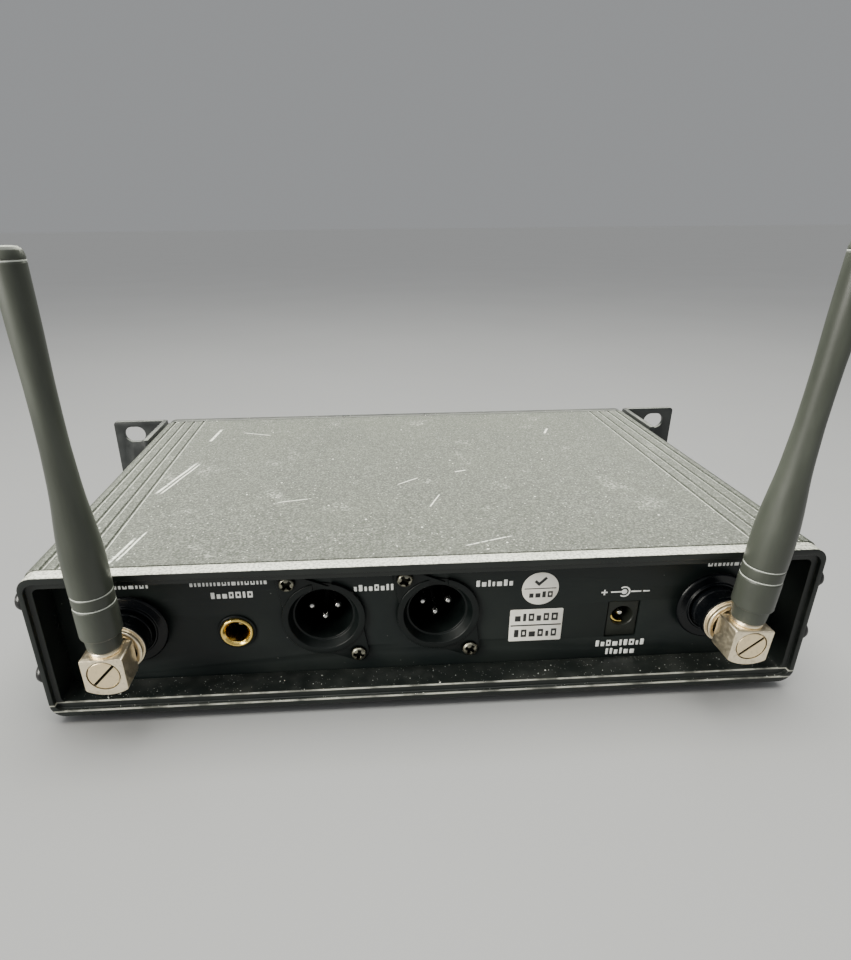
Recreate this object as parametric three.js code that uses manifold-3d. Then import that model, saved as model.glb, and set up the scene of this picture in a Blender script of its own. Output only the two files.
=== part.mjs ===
// Half-rack wireless receiver: an extruded two-shell case between two bezels, with rack ears,
// a recessed rear connector panel and two whip antennas on right-angle bayonet plugs.
// Millimetres, +Z up. X runs across the unit, -Y is the front and +Y the rear.
// The origin lies under the middle of the unit, in the plane its feet stand on.
// Channel B is on the +X side and channel A on the -X side.

import * as THREE from 'three';
import { mergeVertices } from 'three/addons/utils/BufferGeometryUtils.js';
import Module from 'manifold-3d';

const wasm = await Module();
wasm.setup();

// ---------------------------------------------------------------- driving dimensions

const CASE_WIDTH = 211;
const CASE_HEIGHT = 44;
const REAR_Y = 69;
const FRONT_Y = -69;
const CORNER_RADIUS = 4;
const SHELL_CORNER_RADIUS = 3;
const SIDE_WALL = 1.5;
const TOP_WALL = 2.2;
const GAP = 0.3;
const FOOT_HEIGHT = 3;

const FLANGE_DEPTH = 4.2;
const SHROUD_DEPTH = 9.8;
const STEP_DEPTH = 1.3;
const RECESS_DEPTH = 10;
const PANEL_THICKNESS = 1.5;
const PANEL_Y = REAR_Y - RECESS_DEPTH;

const GROOVE_POSITIONS = [88.5, 92.7, 97, 101];
const GROOVE_WIDTH = 1;
const GROOVE_DEPTH = 0.7;

const XLR_X = { a: -2.3, b: 30.1 };
const XLR_Z = 0.3;
const XLR_SCREW = { x: 9.5, z: 12 };
const JACK = { x: 54.7, z: -3.25, boreRadius: 3.2 };
const DC = { x: -56.8, z: -4.8, width: 9, height: 11.8, holeZ: -3.9 };
const BNC_X = { a: -82.1, b: 83.5 };
const TILT_DEG = { a: -3.5, b: 1 };

const ELBOW_WIDTH = 10.6;
const ELBOW_TOP = 4.6;
const ELBOW_FRONT_Y = 71.6;
const ELBOW_REAR_Y = 79.8;
const WHIP_Y = 75.4;
const WHIP_LENGTH = 94.9;

const EAR_REACH = 24;
const EAR_THICKNESS = 2;
const EAR_LEG = 30;
const RACK_HOLE = { inset: 8.7, z: 15.9, width: 9.2, height: 7 };
const EAR_SCREW = { y: -50, z: 8 };
const BEZEL_SCREW_Z = { a: [11.6, -5.8], b: [14.2, -9] };

const BOARD_TOP = -12.2;
const BOARD_THICKNESS = 1.6;
const FASCIA_Y = -68;
const FASCIA_THICKNESS = 1.9;
const FRONT_BOARD_Y = -57.5;
const KNOB_X = { a: 50, b: 82 };
const KNOB_FRONT_Y = -80.5;
const POWER_X = -84;
const WINDOW = { x: -14, z: 2, width: 76, height: 12 };

const HALF_WIDTH = CASE_WIDTH / 2;
const HALF_HEIGHT = CASE_HEIGHT / 2;
const SHELL_END = REAR_Y - FLANGE_DEPTH - GAP;
const SHROUD_WIDTH = CASE_WIDTH - 2 * (SIDE_WALL + GAP);
const SHROUD_HEIGHT = CASE_HEIGHT - 2 * (TOP_WALL + GAP);

// ---------------------------------------------------------------- materials

const FINISHES = {
  blackCoat: { color: 0x2b2e31, roughness: 0.62, metalness: 0.25 },
  blackPanel: { color: 0x1a1e1f, roughness: 0.55, metalness: 0.2 },
  blackPlastic: { color: 0x141517, roughness: 0.45, metalness: 0 },
  clearBlack: { color: 0x101820, roughness: 0.1, metalness: 0 },
  blackRubber: { color: 0x1d1e20, roughness: 0.78, metalness: 0 },
  nickel: { color: 0xcbbf9f, roughness: 0.28, metalness: 1 },
  steel: { color: 0x8a8c8d, roughness: 0.35, metalness: 1 },
  gold: { color: 0xd9ab4a, roughness: 0.25, metalness: 1 },
  tinplate: { color: 0xb9bcbe, roughness: 0.35, metalness: 1 },
  aluminium: { color: 0xa9abad, roughness: 0.4, metalness: 1 },
  board: { color: 0x1f5a38, roughness: 0.5, metalness: 0 },
  greyCable: { color: 0x77797b, roughness: 0.6, metalness: 0 },
};

function finish(name) {
  return new THREE.MeshStandardMaterial(FINISHES[name]);
}

function place(parent, name, geometry, finishName) {
  const mesh = new THREE.Mesh(geometry, finish(finishName));
  mesh.name = name;
  parent.add(mesh);
  return mesh;
}

// ---------------------------------------------------------------- solids

/** A geometry as a manifold solid: positions only, shared vertices, no zero-area faces. */
function toSolid(geometry) {
  const bare = geometry.clone();
  bare.deleteAttribute('normal');
  bare.deleteAttribute('uv');
  const merged = mergeVertices(bare, 1e-4);
  const index = merged.index.array;
  const triangles = [];
  for (let i = 0; i < index.length; i += 3) {
    const [a, b, c] = index.slice(i, i + 3);
    if (a !== b && b !== c && c !== a) triangles.push(a, b, c);
  }
  const mesh = new wasm.Mesh({
    numProp: 3,
    vertProperties: merged.attributes.position.array,
    triVerts: new Uint32Array(triangles),
  });
  return new wasm.Manifold(mesh);
}

function toGeometry(solid) {
  const mesh = solid.getMesh();
  const geometry = new THREE.BufferGeometry();
  geometry.setAttribute('position', new THREE.BufferAttribute(mesh.vertProperties, 3));
  geometry.setIndex(new THREE.BufferAttribute(mesh.triVerts, 1));
  geometry.computeVertexNormals();
  return geometry;
}

function join(first, ...others) {
  const joined = others.reduce((solid, other) => solid.add(toSolid(other)), toSolid(first));
  return toGeometry(joined);
}

function cut(first, ...tools) {
  const left = tools.reduce((solid, tool) => solid.subtract(toSolid(tool)), toSolid(first));
  return toGeometry(left);
}

// ---------------------------------------------------------------- shapes

function box(xRange, yRange, zRange) {
  const size = [xRange, yRange, zRange].map(([low, high]) => high - low);
  const middle = [xRange, yRange, zRange].map(([low, high]) => (low + high) / 2);
  return new THREE.BoxGeometry(...size).translate(...middle);
}

function around(middle, size) {
  return [middle - size / 2, middle + size / 2];
}

/** A round bar along Y. */
function bar(radius, y0, y1, x = 0, z = 0, segments = 16) {
  const geometry = new THREE.CylinderGeometry(radius, radius, y1 - y0, segments);
  return geometry.translate(x, (y0 + y1) / 2, z);
}

/** A round bar along X, for the holes in the side walls. */
function sideBar(radius, x0, x1, y, z) {
  const geometry = new THREE.CylinderGeometry(radius, radius, x1 - x0, 12);
  return geometry.rotateZ(Math.PI / 2).translate((x0 + x1) / 2, y, z);
}

/** Revolves a profile of [radius, y] points about the Y axis. */
function turned(profile, segments = 20) {
  const points = profile.map(([radius, y]) => new THREE.Vector2(radius, y));
  return new THREE.LatheGeometry(points, segments);
}

/** A closed profile, for a ring. */
function turnedRing(profile, segments = 20) {
  return turned([...profile, profile[0]], segments);
}

/** Extrudes an outline drawn in the XZ plane from y0 to y1, each arc as four straight steps. */
function alongY(shape, y0, y1) {
  const settings = { depth: y1 - y0, bevelEnabled: false, curveSegments: 2 };
  const geometry = new THREE.ExtrudeGeometry(shape, settings);
  return geometry.rotateX(Math.PI / 2).translate(0, y1, 0);
}

/** Extrudes an outline drawn in the YZ plane from x0 to x1. */
function alongX(shape, x0, x1) {
  const settings = { depth: x1 - x0, bevelEnabled: false, curveSegments: 3 };
  const yAxis = new THREE.Vector3(0, 1, 0);
  const zAxis = new THREE.Vector3(0, 0, 1);
  const xAxis = new THREE.Vector3(1, 0, 0);
  const turn = new THREE.Matrix4().makeBasis(yAxis, zAxis, xAxis);
  return new THREE.ExtrudeGeometry(shape, settings).applyMatrix4(turn).translate(x0, 0, 0);
}

function traceRoundedRect(path, width, height, radius, x = 0, z = 0) {
  const right = x + width / 2 - radius;
  const left = x - width / 2 + radius;
  const top = z + height / 2 - radius;
  const bottom = z - height / 2 + radius;
  path.moveTo(right + radius, bottom);
  path.lineTo(right + radius, top);
  path.absarc(right, top, radius, 0, Math.PI / 2, false);
  path.absarc(left, top, radius, Math.PI / 2, Math.PI, false);
  path.absarc(left, bottom, radius, Math.PI, 1.5 * Math.PI, false);
  path.absarc(right, bottom, radius, 1.5 * Math.PI, 2 * Math.PI, false);
  return path;
}

function roundedRect(width, height, radius, x = 0, z = 0) {
  return traceRoundedRect(new THREE.Shape(), width, height, radius, x, z);
}

function roundedHole(width, height, radius, x, z) {
  return traceRoundedRect(new THREE.Path(), width, height, radius, x, z);
}

/** A circle drawn as four arcs, which alongY turns into 16 steps. */
function roundHole(radius, x, z) {
  const path = new THREE.Path();
  for (let quarter = 0; quarter < 4; quarter += 1) {
    const start = quarter * Math.PI / 2;
    path.absarc(x, z, radius, start, start + Math.PI / 2, false);
  }
  return path;
}

// ---------------------------------------------------------------- case shells

/** One groove: a steep wall on its outer side and a ramp on its inner side. */
function groovePoints(position) {
  const outer = position + GROOVE_WIDTH / 2;
  const inner = position - GROOVE_WIDTH / 2;
  return [
    [outer, HALF_HEIGHT],
    [outer, HALF_HEIGHT - GROOVE_DEPTH],
    [inner, HALF_HEIGHT],
  ];
}

/** The section of the upper shell: a shallow channel with lengthwise grooves near its edges. */
function shellSection() {
  const seam = GAP / 2;
  const arcX = HALF_WIDTH - SHELL_CORNER_RADIUS;
  const arcZ = HALF_HEIGHT - SHELL_CORNER_RADIUS;
  const shape = new THREE.Shape();
  shape.moveTo(HALF_WIDTH, seam);
  shape.lineTo(HALF_WIDTH, arcZ);
  shape.absarc(arcX, arcZ, SHELL_CORNER_RADIUS, 0, Math.PI / 2, false);
  const grooves = GROOVE_POSITIONS.flatMap((position) => groovePoints(position).reverse());
  for (const [x, z] of [...grooves].reverse()) shape.lineTo(x, z);
  for (const [x, z] of grooves) shape.lineTo(-x, z);
  shape.absarc(-arcX, arcZ, SHELL_CORNER_RADIUS, Math.PI / 2, Math.PI, false);
  shape.lineTo(-HALF_WIDTH, seam);
  shape.lineTo(-HALF_WIDTH + SIDE_WALL, seam);
  shape.lineTo(-HALF_WIDTH + SIDE_WALL, HALF_HEIGHT - TOP_WALL);
  shape.lineTo(HALF_WIDTH - SIDE_WALL, HALF_HEIGHT - TOP_WALL);
  shape.lineTo(HALF_WIDTH - SIDE_WALL, seam);
  return shape;
}

/** Slot rails that carry the board's edge in one shell and are spare in the other. */
function boardRails() {
  const slotLow = -BOARD_TOP - 0.1;
  const slotHigh = -BOARD_TOP + BOARD_THICKNESS + 0.1;
  const railHeight = 1.2;
  const railReach = 2.5;
  const inside = HALF_WIDTH - SIDE_WALL;
  const rails = [];
  for (const side of [-1, 1]) {
    const xRange = [side * (inside - railReach), side * (inside + 0.5)].sort((p, q) => p - q);
    for (const low of [slotLow - railHeight, slotHigh]) {
      rails.push(box(xRange, [-50, 50], [low, low + railHeight]));
    }
  }
  return rails;
}

function shellGeometry() {
  const plain = alongY(shellSection(), -SHELL_END, SHELL_END);
  const holes = [];
  for (const side of [-1, 1]) {
    const middle = side * (HALF_WIDTH - SIDE_WALL / 2);
    holes.push(sideBar(1.8, middle - 2, middle + 2, EAR_SCREW.y, EAR_SCREW.z));
  }
  return cut(join(plain, ...boardRails()), ...holes);
}

function addCase(unit) {
  place(unit, 'case_top', shellGeometry(), 'blackCoat');
  const bottom = place(unit, 'case_bottom', shellGeometry(), 'blackCoat');
  bottom.rotation.y = Math.PI;
  const foot = [[0, -FOOT_HEIGHT], [5.5, -FOOT_HEIGHT], [6.5, -0.1], [0, -0.1]];
  for (const [end, y] of [['rear', 52], ['front', -52]]) {
    for (const [side, x] of [['a', -90], ['b', 90]]) {
      const mesh = place(unit, `foot_${end}_${side}`, turned(foot, 16), 'blackRubber');
      mesh.rotation.x = Math.PI / 2;
      mesh.position.set(x, y, -HALF_HEIGHT);
    }
  }
}

// ---------------------------------------------------------------- screws

/** A pan-head screw along Y with its head towards +Y and its seat at y = 0. */
function screw(headRadius, headHeight, shankRadius, shankLength) {
  const profile = [
    [0, -shankLength],
    [shankRadius, -shankLength],
    [shankRadius, 0],
    [headRadius, 0],
    [headRadius, 0.5 * headHeight],
    [0.6 * headRadius, headHeight],
    [0, headHeight],
  ];
  return turned(profile, 12);
}

function placeSideScrew(parent, name, geometry, side, seat, y, z) {
  const mesh = place(parent, name, geometry, 'steel');
  mesh.rotation.z = -side * Math.PI / 2;
  mesh.position.set(side * seat, y, z);
}

// ---------------------------------------------------------------- bezels and panels

/** A frame that caps the shells: a flange flush with them and a shroud that slides inside. */
function addRearBezel(unit) {
  const flangeFront = REAR_Y - FLANGE_DEPTH;
  const outline = roundedRect(CASE_WIDTH, CASE_HEIGHT, CORNER_RADIUS);
  const shroud = roundedRect(SHROUD_WIDTH, SHROUD_HEIGHT, 1.5);
  const step = roundedRect(CASE_WIDTH - 2.8, CASE_HEIGHT - 3.8, 2.6);
  const recess = roundedRect(CASE_WIDTH - 6, CASE_HEIGHT - 7.8, 1.2);
  const body = join(
    alongY(outline, flangeFront, REAR_Y),
    alongY(shroud, REAR_Y - SHROUD_DEPTH, flangeFront + 1),
  );
  const tools = [
    alongY(step, REAR_Y - STEP_DEPTH, REAR_Y + 1),
    alongY(recess, REAR_Y - SHROUD_DEPTH - 1, REAR_Y + 1),
  ];
  const screwY = REAR_Y - 3.1;
  for (const [channel, side] of [['a', -1], ['b', 1]]) {
    for (const z of BEZEL_SCREW_Z[channel]) {
      const [x0, x1] = [side * (HALF_WIDTH - 2.3), side * (HALF_WIDTH + 1)].sort((p, q) => p - q);
      tools.push(sideBar(1.5, x0, x1, screwY, z));
    }
  }
  place(unit, 'rear_bezel', cut(body, ...tools), 'blackCoat');
  for (const [channel, side] of [['a', -1], ['b', 1]]) {
    BEZEL_SCREW_Z[channel].forEach((z, index) => {
      const name = `bezel_screw_${channel}_${['upper', 'lower'][index]}`;
      placeSideScrew(unit, name, screw(2.75, 2, 1.2, 2), side, HALF_WIDTH + 0.1, screwY, z);
    });
  }
}

function addRearPanel(unit) {
  const outline = roundedRect(SHROUD_WIDTH - 0.4, SHROUD_HEIGHT - 0.4, 1.5);
  for (const x of Object.values(XLR_X)) {
    outline.holes.push(roundHole(11.4, x, XLR_Z));
    for (const side of [-1, 1]) {
      outline.holes.push(roundHole(1.7, x + side * XLR_SCREW.x, XLR_Z + side * XLR_SCREW.z));
    }
  }
  for (const x of Object.values(BNC_X)) outline.holes.push(roundHole(6.3, x, 0));
  outline.holes.push(roundHole(5.1, JACK.x, JACK.z));
  outline.holes.push(roundedHole(DC.width + 0.6, DC.height + 0.6, 0.4, DC.x, DC.z));
  place(unit, 'rear_panel', alongY(outline, PANEL_Y - PANEL_THICKNESS, PANEL_Y), 'blackPanel');
}

function addFrontBezel(unit) {
  const flangeRear = FRONT_Y + FLANGE_DEPTH;
  const outline = roundedRect(CASE_WIDTH, CASE_HEIGHT, CORNER_RADIUS);
  const shroud = roundedRect(SHROUD_WIDTH, SHROUD_HEIGHT, 1.5);
  const fasciaSeat = roundedRect(CASE_WIDTH - 7, CASE_HEIGHT - 7, 1.5);
  const opening = roundedRect(CASE_WIDTH - 12, CASE_HEIGHT - 12, 1.2);
  const body = join(
    alongY(outline, FRONT_Y, flangeRear),
    alongY(shroud, flangeRear - 1, FRONT_Y + SHROUD_DEPTH),
  );
  const fasciaRear = FASCIA_Y + FASCIA_THICKNESS;
  const frame = cut(
    body,
    alongY(fasciaSeat, FRONT_Y - 1, fasciaRear + 0.1),
    alongY(opening, FRONT_Y - 1, FRONT_Y + SHROUD_DEPTH + 1),
  );
  place(unit, 'front_bezel', frame, 'blackCoat');
}

function addFascia(unit) {
  const rear = FASCIA_Y + FASCIA_THICKNESS;
  const outline = roundedRect(CASE_WIDTH - 7.6, CASE_HEIGHT - 7.6, 1.3);
  outline.holes.push(roundedHole(14, 9, 2.3, POWER_X, 0));
  outline.holes.push(roundedHole(WINDOW.width, WINDOW.height, 1, WINDOW.x, WINDOW.z));
  for (const x of Object.values(KNOB_X)) outline.holes.push(roundHole(3.8, x, 0));
  place(unit, 'front_panel', alongY(outline, FASCIA_Y, rear), 'blackPanel');

  const lens = roundedRect(WINDOW.width - 0.6, WINDOW.height - 0.6, 0.8, WINDOW.x, WINDOW.z);
  const lip = roundedRect(WINDOW.width + 3, WINDOW.height + 3, 1, WINDOW.x, WINDOW.z);
  const pane = join(
    alongY(lens, FASCIA_Y - 0.2, rear + 0.5),
    alongY(lip, rear + 0.1, rear + 0.9),
  );
  place(unit, 'indicator_window', pane, 'clearBlack');
}

// ---------------------------------------------------------------- rack ears

function addRackEars(unit) {
  const inner = HALF_WIDTH + 0.2;
  const outer = HALF_WIDTH + EAR_REACH;
  const holeX = outer - RACK_HOLE.inset;
  const plate = roundedRect(outer - inner, CASE_HEIGHT, 1.5, (inner + outer) / 2, 0);
  const slotRadius = RACK_HOLE.height / 2;
  for (const z of [-RACK_HOLE.z, RACK_HOLE.z]) {
    plate.holes.push(roundedHole(RACK_HOLE.width, RACK_HOLE.height, slotRadius - 0.01, holeX, z));
  }
  const legRange = [FRONT_Y + 0.5, FRONT_Y + EAR_LEG];
  const leg = box([inner, inner + EAR_THICKNESS], legRange, [-HALF_HEIGHT, HALF_HEIGHT]);
  const bracket = cut(
    join(alongY(plate, FRONT_Y, FRONT_Y + EAR_THICKNESS), leg),
    sideBar(1.8, inner - 1, inner + EAR_THICKNESS + 1, EAR_SCREW.y, EAR_SCREW.z),
    sideBar(1.8, inner - 1, inner + EAR_THICKNESS + 1, EAR_SCREW.y, -EAR_SCREW.z),
  );
  place(unit, 'rack_ear_b', bracket, 'blackCoat');
  const mirrored = place(unit, 'rack_ear_a', bracket.clone().rotateY(Math.PI), 'blackCoat');
  mirrored.position.set(0, 0, 0);

  const seat = inner + EAR_THICKNESS + 0.1;
  for (const [channel, side] of [['a', -1], ['b', 1]]) {
    for (const [level, z] of [['upper', EAR_SCREW.z], ['lower', -EAR_SCREW.z]]) {
      const name = `ear_screw_${channel}_${level}`;
      placeSideScrew(unit, name, screw(2.9, 2, 1.5, 6), side, seat, EAR_SCREW.y, z);
    }
  }
}

// ---------------------------------------------------------------- balanced outputs

/** A teardrop ear that reaches from the ring to a screw at (x, z). */
function screwEar(x, z) {
  const tipRadius = 3.1;
  const angle = Math.atan2(z, x);
  const shape = new THREE.Shape();
  shape.moveTo(9 * Math.cos(angle - 1), 9 * Math.sin(angle - 1));
  shape.absarc(x, z, tipRadius, angle - 1.3, angle + 1.3, false);
  shape.lineTo(9 * Math.cos(angle + 1), 9 * Math.sin(angle + 1));
  return shape;
}

function xlrShell() {
  const rear = PANEL_Y - 22.4;
  const front = PANEL_Y + 1.3;
  const profile = [
    [11, rear],
    [11, PANEL_Y + 0.1],
    [11.7, PANEL_Y + 0.1],
    [11.7, front - 0.3],
    [11.4, front],
    [9.9, front],
    [8.7, front - 2.6],
    [8.2, front - 2.8],
    [8.2, rear],
  ];
  const earRange = [PANEL_Y + 0.1, PANEL_Y + 0.9];
  const ears = [-1, 1].map((side) =>
    alongY(screwEar(side * XLR_SCREW.x, side * XLR_SCREW.z), ...earRange));
  const earBore = bar(9.5, PANEL_Y - 1, PANEL_Y + 3);
  const holes = [-1, 1].map((side) =>
    bar(1.7, PANEL_Y - 1, PANEL_Y + 2, side * XLR_SCREW.x, side * XLR_SCREW.z, 12));
  const plate = cut(join(...ears, bar(11, ...earRange)), earBore, ...holes);
  const latchNotch = box([-2.7, 2.7], [front - 1.6, front + 1], [8, 12.5]);
  return cut(join(turnedRing(profile), plate), latchNotch);
}

/** The moulded insert with its three contacts and their tails down to the board. */
function xlrInsert() {
  const floor = PANEL_Y - 19.5;
  const rear = floor - 2.5;
  const tip = PANEL_Y - 5.2;
  const tailFoot = BOARD_TOP + 0.1 - XLR_Z;
  const pieces = [bar(7.9, rear, floor)];
  for (const [x, z] of [[-3.81, 0], [3.81, 0], [0, -3.81]]) {
    const pin = turned([[0, rear - 2], [1.2, rear - 2], [1.2, tip - 0.8], [0.6, tip], [0, tip]], 12);
    pieces.push(pin.translate(x, 0, z));
    pieces.push(box(around(x, 1), [rear - 1.8, rear - 0.8], [tailFoot, z]));
  }
  return join(...pieces);
}

function addXlr(unit, channel) {
  const connector = new THREE.Group();
  connector.position.set(XLR_X[channel], 0, XLR_Z);
  unit.add(connector);
  place(connector, `xlr_${channel}_shell`, xlrShell(), 'blackPlastic');
  place(connector, `xlr_${channel}_insert`, xlrInsert(), 'blackPlastic');
  for (const [level, side] of [['upper', 1], ['lower', -1]]) {
    const mesh = place(connector, `xlr_${channel}_screw_${level}`, screw(2.3, 1.5, 1.4, 8), 'steel');
    mesh.position.set(side * XLR_SCREW.x, PANEL_Y + 1, side * XLR_SCREW.z);
  }
}

// ---------------------------------------------------------------- line jack and power inlet

function addLineJack(unit) {
  const front = PANEL_Y + 1.3;
  const rear = PANEL_Y - 7;
  const profile = [
    [4.7, rear],
    [4.7, front - 0.3],
    [4.4, front],
    [3.7, front],
    [JACK.boreRadius, front - 0.5],
    [JACK.boreRadius, rear],
  ];
  const bushing = place(unit, 'line_jack_bushing', turnedRing(profile, 24), 'gold');
  bushing.position.set(JACK.x, 0, JACK.z);
  const block = box(around(JACK.x, 17), [PANEL_Y - 30, PANEL_Y - 2.5], [BOARD_TOP + 0.1, 7]);
  const housing = cut(
    block,
    bar(5, rear - GAP, PANEL_Y, JACK.x, JACK.z),
    bar(3.4, PANEL_Y - 28, PANEL_Y, JACK.x, JACK.z),
  );
  place(unit, 'line_jack_housing', housing, 'blackPlastic');
}

function addPowerInlet(unit) {
  const front = PANEL_Y - 0.3;
  const rear = PANEL_Y - 13;
  const across = around(DC.x, DC.width);
  const shell = join(
    box(across, [rear, front], around(DC.z, DC.height)),
    box(across, [rear, PANEL_Y - 2.5], [BOARD_TOP + 0.1, DC.z]),
  );
  const hollow = cut(shell, bar(3.3, rear + 3, front + 1, DC.x, DC.holeZ));
  const pin = bar(1, rear + 2, front - 1.4, DC.x, DC.holeZ, 12);
  place(unit, 'dc_jack', join(hollow, pin), 'blackPlastic');
}

// ---------------------------------------------------------------- antennas

function bncSocket() {
  const face = PANEL_Y + 2.6;
  const profile = [
    [0, PANEL_Y - 11],
    [4.5, PANEL_Y - 11],
    [6, PANEL_Y - 8],
    [6, PANEL_Y + 0.1],
    [9.3, PANEL_Y + 0.1],
    [10.7, PANEL_Y + 1.8],
    [10.7, face - 0.3],
    [10.4, face],
    [7.8, face],
    [7.8, face + 0.5],
    [7.3, face + 0.5],
    [7.3, face],
    [4.8, face],
    [4.8, REAR_Y - 1.8],
    [4.25, REAR_Y - 1.8],
    [4.25, PANEL_Y - 1],
    [0, PANEL_Y - 1],
  ];
  return turned(profile);
}

function bncNut() {
  const rear = PANEL_Y + 2.9;
  const profile = [
    [6.9, rear],
    [6.9, REAR_Y - 0.3],
    [6.8, REAR_Y],
    [6.1, REAR_Y],
    [6.1, REAR_Y + 0.7],
    [6.44, REAR_Y + 0.8],
    [6.44, REAR_Y + 1.6],
    [5.15, REAR_Y + 1.6],
    [5.15, rear],
  ];
  return turnedRing(profile);
}

/** The plug's body: a deep flat-topped block with a bowed underside, and a stem. */
function elbowGeometry() {
  const half = ELBOW_WIDTH / 2;
  const cornerZ = -4.3;
  const bowRadius = 10.5;
  const bowAngle = Math.asin(half / bowRadius);
  const bowCentre = cornerZ + bowRadius * Math.cos(bowAngle);
  const shape = new THREE.Shape();
  shape.moveTo(half, ELBOW_TOP);
  shape.lineTo(-half, ELBOW_TOP);
  shape.lineTo(-half, cornerZ);
  const down = -Math.PI / 2;
  shape.absarc(0, bowCentre, bowRadius, down - bowAngle, down + bowAngle, false);
  const capRecess = bar(4.15, ELBOW_REAR_Y - 1.2, ELBOW_REAR_Y + 1);
  const spigotHole = new THREE.CylinderGeometry(2.5, 2.5, 4, 16);
  spigotHole.rotateX(Math.PI / 2).translate(0, WHIP_Y, ELBOW_TOP - 1);
  const body = join(
    alongY(shape, ELBOW_FRONT_Y, ELBOW_REAR_Y),
    bar(4.5, REAR_Y + 1.9, ELBOW_FRONT_Y + 0.5),
    bar(3.9, PANEL_Y + 3.5, REAR_Y + 2.2),
  );
  return cut(body, capRecess, spigotHole);
}

function capGeometry() {
  const disc = bar(3.85, ELBOW_REAR_Y - 0.9, ELBOW_REAR_Y);
  const slot = box([-5, 5], [ELBOW_REAR_Y - 0.35, ELBOW_REAR_Y + 1], [-0.3, 0.3]);
  return cut(disc, slot.rotateY(Math.PI / 4));
}

/** A collar between block and whip with a spigot into each, revolved about the whip's axis. */
function ferruleGeometry() {
  const profile = [
    [0, -2.4], [2.2, -2.4], [2.2, GAP], [3.6, GAP], [3.8, 0.5], [3.8, 1], [3.6, 1.2],
    [2.4, 1.2], [2.4, 9], [0, 9],
  ];
  return turned(profile, 16);
}

/** The rubber whip above the block, as [radius, height above the block's top]. */
function whipGeometry() {
  const neckFoot = 1.2 + GAP;
  const boreTop = 9 + GAP;
  const profile = [
    [2.7, neckFoot], [4.15, neckFoot], [4.45, 5.5], [5.1, 5.7], [5.1, 13.9], [4.95, 14.3],
    [5.05, 17.1], [5.05, 26], [4.9, 29], [4.6, 33], [4.2, 37], [3.7, 42], [3.35, 48],
    [3.1, 54], [3.05, 68], [3.25, 77], [3.35, 92.6], [3.05, 94], [2.1, WHIP_LENGTH - 0.2],
    [0, WHIP_LENGTH], [0, boreTop], [2.7, boreTop], [2.7, neckFoot],
  ];
  return turned(profile, 16);
}

function addAntenna(unit, channel) {
  const axis = new THREE.Group();
  axis.position.x = BNC_X[channel];
  unit.add(axis);
  place(axis, `bnc_${channel}_socket`, bncSocket(), 'blackPlastic');
  place(axis, `bnc_${channel}_nut`, bncNut(), 'blackPlastic');

  const swivel = new THREE.Group();
  swivel.rotation.y = THREE.MathUtils.degToRad(TILT_DEG[channel]);
  axis.add(swivel);
  place(swivel, `antenna_${channel}_elbow`, elbowGeometry(), 'nickel');
  place(swivel, `antenna_${channel}_cap`, capGeometry(), 'nickel');

  const whip = new THREE.Group();
  whip.rotation.x = Math.PI / 2;
  whip.position.set(0, WHIP_Y, ELBOW_TOP);
  swivel.add(whip);
  place(whip, `antenna_${channel}_ferrule`, ferruleGeometry(), 'nickel');
  place(whip, `antenna_${channel}_whip`, whipGeometry(), 'blackRubber');
}

// ---------------------------------------------------------------- electronics

function radioCan(x) {
  const deck = BOARD_TOP + 0.1;
  return join(
    box(around(x, 56), [-20, 26], [deck, deck + 7]),
    box(around(x, 57), [-20.5, 26.5], [deck + 4, deck + 7.5]),
  );
}

function heatsinkGeometry() {
  const foot = BOARD_TOP + 0.1;
  const fins = [];
  for (let index = 0; index < 6; index += 1) {
    const x = -12 + 4.8 * index;
    fins.push(box(around(x, 1.4), [-12, 12], [foot + 2, foot + 14]));
  }
  return join(box([-12.7, 12.7], [-12, 12], [foot, foot + 3]), ...fins);
}

/** A coaxial lead from a socket's rear down to the side of its radio can. */
function coaxGeometry(channel) {
  const side = channel === 'b' ? 1 : -1;
  const route = new THREE.CatmullRomCurve3([
    new THREE.Vector3(BNC_X[channel], PANEL_Y - 11.4, 0),
    new THREE.Vector3(BNC_X[channel], PANEL_Y - 18, -1),
    new THREE.Vector3(side * 80, PANEL_Y - 25, -6),
    new THREE.Vector3(side * 78, 27, -9),
  ]);
  const section = new THREE.Shape().absarc(0, 0, 1, 0, 2 * Math.PI, false);
  return new THREE.ExtrudeGeometry(section, { steps: 14, extrudePath: route, curveSegments: 4 });
}

/** A flat cable that rises from the main board and turns forward to the front board. */
function ribbonGeometry() {
  const boardFace = FRONT_BOARD_Y + BOARD_THICKNESS + GAP;
  const foot = BOARD_TOP + GAP;
  const rise = 3;
  const inner = 4;
  const outer = 4.8;
  const bendY = boardFace + 5;
  const shape = new THREE.Shape();
  shape.moveTo(bendY + inner, foot);
  shape.lineTo(bendY + outer, foot);
  shape.absarc(bendY, foot + rise, outer, 0, Math.PI / 2, false);
  shape.lineTo(boardFace, foot + rise + outer);
  shape.lineTo(boardFace, foot + rise + inner);
  shape.absarc(bendY, foot + rise, inner, Math.PI / 2, 0, true);
  return alongX(shape, -14, 14);
}

function frontBoardGeometry() {
  const back = FRONT_BOARD_Y + BOARD_THICKNESS;
  const pieces = [box([-97, 97], [FRONT_BOARD_Y, back], [-11.5, 15])];
  for (let index = 0; index < 8; index += 1) {
    const x = WINDOW.x - 31.5 + 9 * index;
    pieces.push(bar(1.5, FRONT_BOARD_Y - 6, FRONT_BOARD_Y + 0.5, x, WINDOW.z, 12));
  }
  return join(...pieces);
}

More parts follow.
